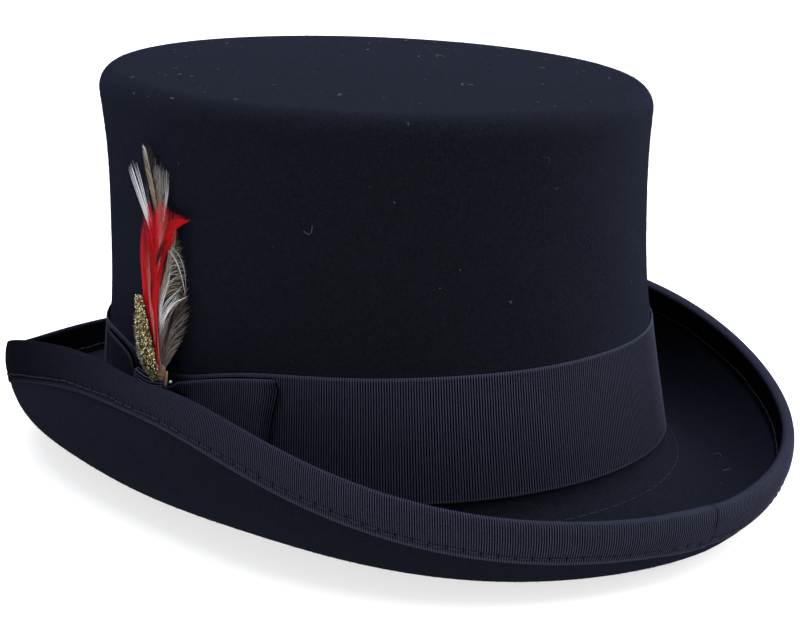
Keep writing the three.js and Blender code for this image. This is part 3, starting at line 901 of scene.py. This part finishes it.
def lining(material, thread):
    angle, _ = even_angles(lambda t: side_point(t, 60.0, -3), WALL_COLUMNS)
    pleats = np.sin(angle * 96 + 1.5 * np.sin(angle * 7)) + 0.5 * np.sin(angle * 41)
    sag = 0.5 + 0.5 * np.sin(angle * 9 + 0.7)
    middle = np.linspace(LINING_HEM + 1, LINING_TOP - 1, 26)
    heights = np.concatenate([[LINING_HEM], middle, [LINING_TOP]])
    rows = []
    for h in heights:
        gather = smooth(70, LINING_TOP, h) * 0.15 + 0.04
        hang = 0.35 * sag * smooth(20, 60, h) * smooth(100, 70, h)
        rows.append(side_point(angle, h, -(LINING_DEPTH + 0.35) + gather * pleats - hang))
    back = [side_point(angle, h, -(LINING_DEPTH + 0.02)) for h in [*heights[::-4], LINING_HEM]]
    side = swept("lining_side_satin", rows + back, material)
    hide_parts("lining_side")

    depth, seam = LINING_DEPTH + 0.4, LINING_TOP + 0.5
    rim = [side_point(angle, seam, -depth + 0.2 * pleats)]
    lower, roof = crown_rows(angle, depth, 2, 8, 22, SIDE - 1)
    for k, row in enumerate(lower):
        drop = 0.25 * smooth(14, 0, k) * pleats - 0.25 * smooth(8, 30, k)
        lower[k] = row + np.array([0, 0, 1.0]) * drop[:, None]
    upper, ceiling = crown_rows(angle, LINING_DEPTH, 2, 4, 6, SIDE - 1)
    rows = upper[::-1] + [side_point(angle, seam, -LINING_DEPTH)] + rim + lower
    poles = ((ceiling, 0), (np.array(roof) - (0, 0, 0.25), len(rows) - 1))
    tip = swept("lining_tip_satin", rows, material, False, poles=poles)
    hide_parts("lining_tip")

    _, turned = stitch_places(LINING_STITCHES, np.linspace(0.12, 0.88, 5), angle)
    height = LINING_TOP + 0.2 + np.tile([-0.9, -0.5, 0, 0.5, 0.9], LINING_STITCHES)
    inward = -depth - np.tile([0.1, 0.55, 0.7, 0.55, 0.1], LINING_STITCHES)
    path = side_point(turned, height, inward)
    batch = thread_tubes(path, LINING_STITCHES, 0.35, (0.03, 0.032, 0.05), 5)
    stitches = tube_object("lining_stitches", [batch], thread)


SWEAT_LOW, SWEAT_HIGH, SWEAT_SEAM = 0.8, 36.0, 8.6
# The reed's section, as heights and depths in from the lining's line.
REED_OUTLINE = (
    (1.2, 0.04), (1.0, 0.2), (1.2, 0.46), (4, 0.5), (6.8, 0.46), (7, 0.25), (6.8, 0.04), (4, 0.02))


def sweatband(leather, reed, thread):
    angle, _ = even_angles(lambda t: side_point(t, 20.0, -4), WALL_COLUMNS)
    middle = np.linspace(2, SWEAT_HIGH - 1, 20)
    heights = [SWEAT_LOW, SWEAT_LOW + 0.3, *middle, SWEAT_HIGH - 0.3, SWEAT_HIGH]
    wave = 0.25 * np.sin(angle * 5 + 1) + 0.15 * np.sin(angle * 12)
    wall = lambda h, depth: side_point(angle, h, -(LEATHER_DEPTH + depth) - wave * smooth(10, 36, h))
    rows = []
    for h in heights:
        edge = min(h - SWEAT_LOW, SWEAT_HIGH - h)
        roll = 0.55 * math.sqrt(min(1, edge / 0.5))
        over_reed = 0.35 * math.exp(-((h - 4.2) / 3) ** 2)
        seam = -0.3 * math.exp(-((h - SWEAT_SEAM) / 0.5) ** 2)
        rows.append(wall(h, 0.5 + roll + over_reed + seam))
    back = [wall(h, 0.12) for h in (SWEAT_HIGH - 0.1, 27.0, 18.0, 9.0, SWEAT_LOW + 0.1)]
    band = swept("sweatband_leather", rows + back, leather)
    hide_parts("sweatband")

    strip = [side_point(angle, h, -LINING_DEPTH - depth) for h, depth in REED_OUTLINE]
    core = swept("reed_strip", strip, reed)
    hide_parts("sweatband_reed")

    share = np.linspace(0.1, 0.9, 6)
    _, turned = stitch_places(SWEAT_STITCHES, share, angle)
    rise = np.where(np.arange(SWEAT_STITCHES) % 2 == 0, 1, -1)[:, None] * (share - 0.5) * 1.6
    inward = np.tile(LEATHER_DEPTH + 1.25 - 0.7 * np.abs(2 * share - 1) ** 3, SWEAT_STITCHES)
    path = side_point(turned, SWEAT_SEAM + rise.ravel(), -inward)
    batch = thread_tubes(path, SWEAT_STITCHES, 0.32, (0.16, 0.1, 0.07))
    zigzag = tube_object("sweatband_stitches", [batch], thread)


def brim_stitches(thread):
    """The sweatband's stitches, which come through the brim just outside the hatband."""
    angle, length = even_angles(lambda t: Brim(t).point(9.0, FELT / 2), 1200)
    number = round(length / BRIM_STITCH)
    share = np.linspace(0.14, 0.86, 7)
    column, turned = stitch_places(number, share, angle)
    lift = np.tile(0.12 - 0.4 * np.abs(2 * share - 1) ** 3, number)
    path = Brim(turned).point(10.5 + 0.3 * np.sin(column / 40), FELT / 2 + lift)
    batch = thread_tubes(path, number, 0.28, (0.014, 0.0145, 0.019))
    stitches = tube_object("brim_stitches", [batch], thread)


HUB_HALF = 1.7


def inside_bow(material):
    """The small flat bow over the sweatband's seam."""
    low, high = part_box("sweatband_bow")
    half, middle = (high.x - low.x) / 2 / MM, (high.z + low.z) / 2 / MM - BREAK
    wall = low.y / MM + 0.35
    u = np.linspace(-1, 1, 61)[:, None]
    v = np.linspace(0, TAU, 41)[None, :-1]
    far = np.abs(u)
    wing = 1.5 + 3.4 * far ** 0.8 * (1 - 0.15 * smooth(0.8, 1, far))
    close = np.sqrt(np.clip(1 - far ** 9, 0, 1))
    x = half * u * (1 - 0.05 * np.cos(v) ** 2 * far)
    z = middle + wing * close * np.cos(v)
    folds = 0.22 * np.cos(np.cos(v) * 9) * (1 - far) ** 1.5
    puff = (0.25 + 0.75 * np.sin(far * math.pi) ** 0.7 * 0.8) * np.abs(np.sin(v)) ** 0.5
    y = wall + 0.55 - np.sign(np.sin(v)) * puff * close * 0.7 - folds * (np.sin(v) > 0)
    wings = capped("inside_bow_wings", np.stack([x, y + (z - middle) * 0.14, z], -1), material)

    turn = np.linspace(0, TAU, 25)[None, :-1]
    x = np.linspace(-HUB_HALF, HUB_HALF, 9)[:, None]
    flare = (x / HUB_HALF) ** 2
    y = wall + 0.5 - 0.95 * np.cos(turn) * (1 - 0.1 * flare)
    z = middle + (2.2 - 0.25 * (1 - flare)) * np.sin(turn)
    hub = capped("inside_bow_knot", np.stack([x + 0 * turn, y, z], -1), material)
    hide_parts("sweatband_bow")


# Feather spray. Places are (y, z, out): along the hat's side, up from the break, and out from the crown.

LEAN_Y, LEAN_Z, LEAN_FROM = 1.5, 0.42, 3.0
BARB_STEPS, BARB_JITTER = 8, 0.14  # points along a barb, and how far its tone varies


def spray_point(place):
    """Places beside the crown's left side, standing off further where the hatband and bow are. Layers
    further out also stand a little further back, as the spray leans that way."""
    place = np.asarray(place, float)
    off = 1.0 + 1.5 * smooth(42, 28, place[..., 1]) + place[..., 2]
    y = place[..., 0] + LEAN_Y * (off - LEAN_FROM)
    z = place[..., 1] + LEAN_Z * (off - LEAN_FROM)
    grow = draw_in(np.clip(z, 0, SIDE))
    x = (PLAN_X + grow) * np.sqrt(np.clip(1 - (y / (PLAN_Y + grow)) ** 2, 0, 1))
    return np.stack([x + off, y, z], -1)


def curve(knots, share):
    """Points of a smooth curve through knots, at shares of its length from 0 to 1."""
    knots = np.asarray(knots, float)
    fine = np.linspace(0, 1, 240)
    padded = np.vstack([2 * knots[0] - knots[1], knots, 2 * knots[-1] - knots[-2]])
    k = np.minimum((fine * (len(knots) - 1)).astype(int), len(knots) - 2)
    f = (fine * (len(knots) - 1) - k)[:, None]
    a, b, c, d = (padded[k + i] for i in range(4))
    square, cube = 2 * a - 5 * b + 4 * c - d, 3 * b - a - 3 * c + d
    line = 0.5 * (2 * b + (c - a) * f + square * f ** 2 + cube * f ** 3)
    length = np.concatenate([[0], np.cumsum(np.linalg.norm(np.diff(line, axis=0), axis=1))])
    at = np.interp(np.asarray(share) * length[-1], length, fine)
    return np.stack([np.interp(at, fine, line[:, i]) for i in range(line.shape[1])], -1)


def shade(colours, place, along):
    """Colours of barbs along their length. colours are (root, tip) pairs, from the first barb to the last."""
    stops = np.linspace(0, 1, len(colours))
    pairs = np.asarray(colours, float)
    pick = lambda k: np.stack([np.interp(place, stops, pairs[:, k, i]) for i in range(3)], -1)[:, None]
    tone = mix(pick(0), pick(1), along[None, :, None])
    tone = tone * np.exp(rng.normal(0, BARB_JITTER, (len(place), 1, 1)))
    return np.concatenate([np.clip(tone, 0, 1), np.ones(tone.shape[:2] + (1,))], -1)


def strands(roots, tips, count, colours, out, width=0.16, bow=0.12, fray=0.08, slip=0.04, lift=0.4,
            clump=0):
    """Barbs from a curve of roots to a curve of tips, both of (y, z) places. bow bulges them sideways as
    a share of their length, fray varies their length, slip shuffles their tips along the curve, and clump
    gathers them into that many tufts."""
    share = (np.arange(count) + rng.random(count)) / count
    aim = share + rng.normal(0, slip, count)
    if clump:
        tuft = (np.floor(share * clump) + 0.5) / clump
        aim = mix(aim, tuft + rng.normal(0, 0.3 / clump, clump + 1)[(share * clump).astype(int)], 0.6)
    root = curve(roots, share)
    tip = curve(tips, np.clip(aim, 0, 1))
    chord = (tip - root) * rng.normal(1, fray, (count, 1))
    side = np.stack([chord[:, 1], -chord[:, 0]], -1)
    s = np.linspace(0, 1, BARB_STEPS)
    bulge = bow * rng.normal(1, 0.35, (count, 1, 1)) * (4 * s * (1 - s) * (1.15 - 0.5 * s))[None, :, None]
    yz = root[:, None] + chord[:, None] * s[None, :, None] + side[:, None] * bulge
    rise = rng.normal(0, lift, (count, 1)) * s[None] ** 1.5 + rng.normal(0, 0.12, (count, 1))
    rise = np.maximum(out + rise, 0.4)
    path = spray_point(np.concatenate([yz, rise[..., None]], -1))
    taper = (1 - s ** 2.2) * 0.8 + 0.2
    thick = width * rng.uniform(0.75, 1.25, (count, 1)) * taper[None]
    return tubes(path, thick, shade(colours, share, s), 3, 0.5)


def shaft(spine, out, thick, colour, steps=40):
    share = np.linspace(0, 1, steps)
    line = curve(spine, share)
    outs = np.interp(share, np.linspace(0, 1, len(out)), out)[:, None]
    widths = np.interp(share, np.linspace(0, 1, len(thick)), thick)[None]
    tone = np.broadcast_to(np.array([*colour, 1.0]), (1, steps, 4))
    return tubes(spray_point(np.hstack([line, outs]))[None], widths, tone, 8)


def feather(name, node, slot, material, *batches):
    piece = tube_object(name, batches, material, "feather_spray")
    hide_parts(node)


WHITE = ((0.93, 0.91, 0.88), (1.0, 0.99, 0.97))
PALE = ((0.4, 0.36, 0.31), (0.85, 0.81, 0.75))
GREY = ((0.12, 0.1, 0.085), (0.5, 0.47, 0.43))
BROWN = ((0.05, 0.035, 0.025), (0.16, 0.11, 0.08))
DARK = ((0.016, 0.011, 0.01), (0.045, 0.032, 0.026))
TAN = ((0.34, 0.25, 0.16), (0.46, 0.36, 0.25))
PINK = ((0.2, 0.135, 0.125), (0.33, 0.26, 0.25))
RED = ((0.6, 0.006, 0.012), (0.68, 0.006, 0.012))
# DEEP and BLOOD are darker reds that paint shade onto the red feathers. STREAK_AND_HIGHLIGHT's pale pink is
# partly the feather's own pale streak and partly a painted highlight.
DEEP = ((0.16, 0.002, 0.005), (0.4, 0.004, 0.01))
BLOOD = ((0.1, 0.004, 0.004), (0.16, 0.004, 0.006))
STREAK_AND_HIGHLIGHT = ((0.75, 0.3, 0.27), (0.7, 0.03, 0.035))
BASE = (-0.5, 26.5)


def spray():
    plain = barb_material("feather_barbs")

    feather(
        "white_front_barbs", "white_hackle_front", "feather_white", plain,
        shaft(
            [BASE, (-3.5, 45), (-4.5, 62), (-6.3, 74)],
            (1.4, 0.9, 0.8), (0.6, 0.4, 0.15), (0.55, 0.48, 0.4)),
        strands(
            [(-4.4, 67), (-6.3, 73.5)], [(-18.6, 87.5), (-15.6, 90)],
            22, (WHITE, WHITE), 1.2, 0.17, 0.0, 0.04, 0.06, 0.2, 4),
        strands(
            [(-3.5, 67), (-5.3, 72.5)], [(-14.6, 90), (-11.6, 90.5)],
            12, (WHITE, WHITE), 1.3, 0.16, 0.0, 0.05, 0.08, 0.2, 3),
        strands(
            [(-3, 66), (-4.3, 72)], [(-11.5, 88.5), (-6.5, 85)],
            5, (GREY, GREY), 1.1, 0.11, -0.01, 0.06, 0.1, 0.3),
    )
    feather(
        "white_rear_barbs", "white_hackle_rear", "feather_white", plain,
        shaft([BASE, (-2.5, 45), (-2, 62), (-0.6, 76)], (1.4, 0.8, 0.8), (0.6, 0.4, 0.15), (0.5, 0.42, 0.33)),
        strands(
            [(-2.8, 69), (-0.6, 76)], [(-3, 91), (1.2, 91.5), (4.4, 90)],
            44, (WHITE, PALE, GREY, BROWN), 1.1, 0.13, 0.02, 0.05, 0.06, 0.3, 9),
        strands(
            [(-1.8, 68), (0, 75)], [(3.4, 91), (5.3, 87), (2.8, 81)],
            16, (WHITE, WHITE, GREY), 1.2, 0.15, 0.03, 0.06, 0.08, 0.3, 7),
    )
    feather(
        "tan_barbs", "tan_feather", "feather_tan", plain,
        shaft(
            [BASE, (-2.5, 55), (-1.3, 72.5), (-2.8, 83.5), (-4.3, 91), (-5.6, 96.6)],
            (1.6, 1.3, 1.5), (0.6, 0.5, 0.4, 0.12), (0.55, 0.42, 0.28)),
        strands(
            [(-1.4, 70), (-2.4, 81), (-3.9, 89), (-5.4, 96)],
            [(-4.2, 79.5), (-6.6, 88), (-7.4, 94), (-7.2, 97.8)],
            90, (BROWN, TAN, TAN, PALE), 1.4, 0.16, 0.1, 0.06, 0.03, 0.12),
        strands(
            [(-1.4, 70), (-2.4, 81), (-3.9, 89), (-5.6, 96.4)],
            [(1.4, 79), (0.4, 88.5), (-1.4, 95.5), (-5, 98.4)],
            90, (TAN, BROWN, DARK, DARK), 1.5, 0.16, -0.1, 0.06, 0.03, 0.12),
    )
    feather(
        "partridge_barbs", "partridge_feather", "feather_brown", plain,
        shaft([(0, 26.5), (1, 34), (4, 42), (7, 50)], (1.6, 1.8, 1.7), (0.5, 0.4, 0.2), (0.2, 0.13, 0.1)),
        strands(
            [(0, 27), (0.5, 31), (2, 37), (5, 44)], [(4, 33), (8.5, 39), (11.3, 45), (11.5, 56)],
            190, (PINK, BROWN, DARK, BROWN), 1.7, 0.16, -0.1, 0.08, 0.05, 0.5, 14),
        strands(
            [(0, 27), (0.5, 31), (2, 37), (5, 44)], [(-2, 38), (0, 44), (4, 51), (9, 56)],
            150, (PINK, BROWN, DARK, DARK), 1.7, 0.16, 0.08, 0.08, 0.05, 0.5, 12),
        strands(
            [(0, 28), (1, 33), (3, 40)], [(6, 35), (9.5, 42), (11.5, 50)],
            40, (PINK, GREY, PINK), 2.1, 0.12, -0.1, 0.12, 0.12, 0.6),
        strands(
            [(2, 34), (5, 42)], [(13.5, 42), (15.5, 54)],
            7, (BROWN, BROWN), 1.9, 0.05, -0.22, 0.1, 0.1, 1.0),
    )
    feather(
        "cream_barbs", "cream_hackle", "feather_white", plain,
        shaft(
            [(-0.2, 27), (-2.5, 39), (-1.5, 52), (2.5, 62.5), (6, 72)],
            (2.0, 2.2, 2.2), (0.5, 0.4, 0.15), (0.45, 0.38, 0.3)),
        strands(
            [(-2, 38), (-1.5, 48), (1, 58), (4, 67)], [(8, 55), (10.5, 61), (9, 67), (6.8, 73.5)],
            110, (BROWN, DARK, DARK, BROWN), 2.0, 0.15, -0.1, 0.08, 0.05, 0.4, 16),
        strands(
            [(-1.5, 46), (0.5, 56), (3, 63)], [(9.5, 62), (8.5, 68), (6.6, 73.4)],
            18, (PALE, TAN, PALE), 2.5, 0.13, -0.12, 0.06, 0.12, 0.4),
        strands(
            [(-3, 40), (-2.5, 46), (-1.5, 52)], [(2.5, 56), (4, 61), (4.5, 66)],
            30, (WHITE, PALE, TAN), 2.4, 0.18, -0.07, 0.1, 0.1, 0.5, 10),
        strands(
            [(-2.5, 37), (-2, 46), (1.5, 58)], [(-3.4, 50), (-1, 61), (4.5, 72)],
            46, (PALE, BROWN, DARK), 2.3, 0.15, 0.07, 0.08, 0.07, 0.5, 10),
        strands(
            [(-2, 38), (-2, 44)], [(6.5, 50), (8.5, 56)],
            20, (PALE, WHITE), 2.6, 0.16, -0.12, 0.1, 0.2, 0.5, 5),
        strands(
            [(-1.5, 30), (-2, 36)], [(2, 43), (5, 49)],
            44, (PINK, PINK), 2.3, 0.15, -0.08, 0.12, 0.12, 0.5, 8),
        strands(
            [(-1, 50), (1.5, 58), (4, 66)], [(10.4, 54), (10.8, 61), (8.8, 68)],
            30, (TAN, PALE, TAN), 2.6, 0.12, -0.1, 0.06, 0.12, 0.4),
        strands(
            [(1, 67), (1.6, 68.6)], [(10.2, 53), (10.8, 55)],
            3, (WHITE, PALE), 2.9, 0.22, -0.16, 0.02, 0.1, 0.2),
        strands(
            [(-0.5, 41.5), (0.6, 45)], [(9.5, 52), (11, 53.6)],
            4, (WHITE, WHITE), 3.0, 0.2, -0.2, 0.06, 0.1, 0.2),
        strands([(1.5, 58), (4, 66)], [(3.5, 75), (8, 75)], 8, (TAN, PALE), 2.7, 0.15, 0.06, 0.08, 0.2, 0.3),
    )
    red_shaft = [(-0.6, 27), (-4.2, 38.5), (-6.8, 49), (-6.8, 59), (-5.5, 67.5), (-4, 72)]
    feather(
        "red_barbs", "red_feather", "feather_red", plain,
        shaft(red_shaft, (2.5, 2.6, 2.6, 2.6), (0.8, 0.6, 0.4, 0.15), (0.55, 0.02, 0.03)),
        strands(
            [(-1.8, 27.5), (-5.6, 38.5), (-9, 48)], [(-11.6, 49), (-13, 60), (-12.3, 68), (-10.8, 72.5)],
            360, (RED, RED, RED, DEEP), 2.6, 0.2, 0.07, 0.04, 0.03, 0.35, 22),
        strands(
            [(-0.8, 27.5), (-3.6, 38.5), (-5.5, 49)], [(-3.6, 46), (-3.2, 55), (0.6, 64.5), (4.5, 70.5)],
            330, (RED, RED, RED, DEEP), 2.6, 0.2, -0.07, 0.04, 0.03, 0.35, 22),
        strands(
            [(-2.5, 33), (-6.5, 44), (-6.5, 54)], [(-10.5, 72), (-7, 73.5), (-1, 76), (3.5, 72)],
            330, (DEEP, RED, RED, DEEP), 2.8, 0.2, 0.03, 0.06, 0.04, 0.35, 20),
        strands(
            [(-4, 36), (-7.5, 46), (-8, 52)], [(-8.5, 52), (-11, 62), (-9, 68)],
            46, (STREAK_AND_HIGHLIGHT, STREAK_AND_HIGHLIGHT), 3.0, 0.14, 0.05, 0.08, 0.06, 0.3),
        strands(
            [(-1.6, 30), (-3, 36)], [(-4.4, 46), (-5.4, 52)],
            20, (STREAK_AND_HIGHLIGHT, RED), 3.0, 0.16, 0.02, 0.1, 0.1, 0.2),
        strands(
            [(-5.5, 60), (-4.5, 66)], [(-8, 78.5), (-6, 80.5)],
            16, (RED, RED), 2.4, 0.2, 0.0, 0.05, 0.08, 0.3),
        # A dark patch of painted shade on the red feather.
        strands(
            [(-4.5, 60.5), (-2.5, 62.5)], [(-0.5, 68), (2.2, 69)],
            30, (DARK, BLOOD, DARK), 3.7, 0.2, -0.08, 0.2, 0.1, 0.3),
    )
    feather(
        "red_tip_barbs", "red_tip_feather", "feather_red", plain,
        shaft(
            [(-2, 60), (-0.8, 68), (1.5, 73), (5, 75.6), (10.5, 76.6)],
            (2.9, 3.0, 3.0), (0.4, 0.3, 0.12), (0.5, 0.02, 0.03)),
        strands(
            [(-3, 58), (-1.8, 65), (0, 70), (4, 75)], [(-2.8, 72), (-0.8, 80.5), (4.5, 78.5), (12.6, 76.6)],
            200, (STREAK_AND_HIGHLIGHT, STREAK_AND_HIGHLIGHT, DEEP, RED), 3.0, 0.17, 0.08, 0.06, 0.05, 0.35, 14),
        strands(
            [(-3, 58), (-1.5, 65), (0.5, 70), (5, 75.4)], [(3, 66.5), (6, 70), (7.4, 73.4), (12.6, 76.4)],
            200, (DEEP, RED, RED, RED), 3.0, 0.18, -0.08, 0.08, 0.05, 0.35, 12),
    )
    gold_leaf()
    bound_shafts()


LEAF_UP, LEAF_ACROSS, LEAF_THICK = 46, 17, 0.3
FLAKES, FLAKE_THICK = 1500, 0.05


def gold_leaf():
    """A trimmed, blunt feather covered in gold flakes."""
    share = np.linspace(0, 1, LEAF_UP)
    front = [(-4.5, 25.2), (-9.5, 28.4), (-13.4, 33), (-16.2, 39.5), (-16.8, 44.5), (-16.4, 49.6)]
    front = curve(front, share)
    back = curve([(-2.6, 25.6), (-2.8, 29.5), (-5, 34.5), (-7.4, 40), (-10.2, 46), (-12.6, 50)], share)
    v = np.linspace(0, 1, LEAF_ACROSS)[None, :]
    yz = mix(front[:, None], back[:, None], v[..., None])
    up = share[:, None]
    cup = 3.4 + 0.9 * np.sin(v * math.pi) ** 0.7 * np.sin(up * 2.8) ** 0.5 + 0.1 * np.sin(up * 40 + v * 12)
    layer = lambda lift: spray_point(np.concatenate([yz, (cup + lift)[..., None]], -1))
    outer, inner = layer(0.0), layer(-LEAF_THICK)
    loop = np.concatenate([outer, inner[:, ::-1]], 1)
    points = loop.reshape(-1, 3)
    n = loop.shape[1]
    i = np.arange(LEAF_ACROSS - 1)
    cap = np.stack([i, i + 1, n - 2 - i, n - 1 - i], -1)
    quads = np.vstack([lattice(LEAF_UP, n), cap[:, ::-1], cap + (LEAF_UP - 1) * n])
    tint = np.tile(np.array([0.05, 0.035, 0.012, 1.0]), (len(points), 1))
    olive = barb_material("olive_vane", 0.6, 0.1)
    faces = turned_out(points, quads, NO_TRIANGLES)
    vane = mesh_object("gold_leaf_vane", points, *faces, olive, "feather_spray", tint=tint)
    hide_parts("gold_leaf")

    i = rng.integers(0, LEAF_UP - 1, FLAKES)
    j = rng.integers(0, LEAF_ACROSS - 1, FLAKES)
    f, g = rng.random((2, FLAKES, 1))
    at = mix(mix(outer[i, j], outer[i + 1, j], f), mix(outer[i, j + 1], outer[i + 1, j + 1], f), g)
    normal = unit(np.cross(outer[i + 1, j] - outer[i, j], outer[i, j + 1] - outer[i, j]), 1e-9)
    normal *= np.sign(normal[:, :1])
    tilt = unit(normal + rng.normal(0, 0.5, (FLAKES, 3)))
    a = unit(np.cross(tilt, rng.normal(size=(FLAKES, 3))))
    b = np.cross(tilt, a)
    size = rng.uniform(0.16, 0.42, (FLAKES, 1))
    centre = at + normal * rng.uniform(0.04, 0.3, (FLAKES, 1))
    turn = np.arange(6) / 6 * TAU
    hexagon = a[:, None] * np.cos(turn)[None, :, None] + b[:, None] * np.sin(turn)[None, :, None]
    low = centre[:, None] + hexagon * size[:, None]
    high = low + (tilt * FLAKE_THICK)[:, None]
    points = np.concatenate([low, high], 1).reshape(-1, 3)
    first = np.arange(FLAKES)[:, None] * 12
    k = np.arange(6)[None, :]
    after = (k + 1) % 6
    sides = np.stack([first + k, first + after, first + 6 + after, first + 6 + k], -1).reshape(-1, 4)
    top = np.vstack([first + np.array([[6, 7, 8, 9]]), first + np.array([[6, 9, 10, 11]])])
    bottom = np.vstack([first + np.array([[3, 2, 1, 0]]), first + np.array([[5, 4, 3, 0]])])
    gold = np.array([0.46, 0.37, 0.15]) * np.exp(rng.normal(0, 0.3, (FLAKES, 1)))
    bright = rng.random(FLAKES)
    gold[bright < 0.5] *= 0.16
    gold[bright > 0.86] = (0.95, 0.88, 0.62)
    tint = np.repeat(np.concatenate([np.clip(gold, 0, 1), np.ones((FLAKES, 1))], 1), 12, 0)
    quads = np.vstack([sides, top, bottom])
    piece = mesh_object(
        "gold_flakes", points, quads, NO_TRIANGLES, glitter_material(), "feather_spray", tint=tint)

    veil = strands(
        [(-4.5, 25.6), (-9.5, 28.4), (-13.4, 33), (-16, 39)],
        [(-9.5, 26.6), (-14.6, 31), (-17.6, 37.6), (-18, 43)],
        110, (PALE, PALE, PINK), 2.5, 0.11, 0.2, 0.12, 0.04, 0.4, 12)
    edge = tube_object("leaf_fringe", [veil], barb_material("pale_fringe"), "feather_spray")


QUILL_FOOT = -0.8
QUILL_ENDS = (
    (-4.6, 29.2), (-3.5, 30), (-2.5, 30.5), (-1.6, 31), (-0.7, 31), (0.3, 31), (1.3, 30.5), (2.4, 29.5))
WRAP_TURNS, WRAP_LOW, WRAP_HIGH = 8, 25.2, 28.0


def bound_shafts():
    """The shafts at the foot of the spray, bound with brown thread and glued. They stand about 2 mm further
    out than the CAD's stem, so they cut into the bow and its knot at rest. That is a known fault."""
    quills = []
    for k, (y, z) in enumerate(QUILL_ENDS):
        out = 1.3 + 0.5 * (k % 3)
        line = [(mix(QUILL_FOOT, y, 0.25), 17.6), (mix(QUILL_FOOT, y, 0.7), 23), (y, 27.5), (y, z)]
        tone = np.array([0.4, 0.26, 0.16]) * (0.6 + 0.2 * (k % 4))
        quills.append(shaft(line, (0.9, out, out + 0.6, out + 0.9), (0.7, 1.1, 1.1, 0.4), tone, 16))
    stem = tube_object("bound_shafts", quills, barb_material("quill_horn", 0.42), "feather_spray")
    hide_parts("feather_stem")

    t = np.linspace(0, WRAP_TURNS * TAU, WRAP_TURNS * 28)
    z = mix(WRAP_LOW, WRAP_HIGH, t / t[-1]) + 0.12 * np.sin(t * 0.7)
    grow = mix(0.82, 1.0, t / t[-1])
    y = QUILL_FOOT + 2.7 * grow * np.cos(t)
    out = 2.1 + 1.2 * grow * np.sin(t)
    winding = thread_tubes(spray_point(np.stack([y, z, out], -1)), 1, 0.42, (0.2, 0.11, 0.055))
    rise = np.array([-0.5, -0.35, 0, 0.35, 0.5])
    path = spray_point(np.stack([4.4 + 0 * rise, 26.6 + rise, 2.6 + 0 * rise], -1))[None]
    colour = np.broadcast_to(np.array([0.5, 0.62, 0.5, 1]), (1, len(rise), 4))
    bead = tubes(path, np.array([[0.1, 0.7, 0.95, 0.7, 0.1]]), colour, 10)
    wrap = tube_object("thread_binding", [winding, bead], thread_tinted(), "feather_spray")
    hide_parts("feather_wrap")


def thread_tinted():
    s = shader("brown_thread", (0.2, 0.11, 0.055), 0.38, Specular_IOR_Level=0.5)
    glue = s.noise(400, 4, 0.6)
    s.colour(s.attribute("tint").outputs["Color"])
    s.rough(s.remap(glue, 0.3, 0.7, 0.22, 0.5))
    s.bump(s.noise(2200, 3, 0.6, 1.0), 0.00008, 0.6)
    return s.mat


camera()
studio()
grosgrain = grosgrain_material("navy_grosgrain", (0.0002, 0.0002, 0.0004), (0.0495, 0.052, 0.078))
dark_thread = thread_material("navy_thread", (0.026, 0.027, 0.036))
tan_thread = thread_material("tan_thread", (0.16, 0.1, 0.07))
satin = satin_material()
nap(felt_hood(felt_material()), nap_material())
hatband(grosgrain)
binding(grosgrain, dark_thread)
bow(grosgrain)
knot(grosgrain)
lining(satin, dark_thread)
sweatband(leather_material(), plastic_material(), tan_thread)
brim_stitches(dark_thread)
inside_bow(satin)
spray()
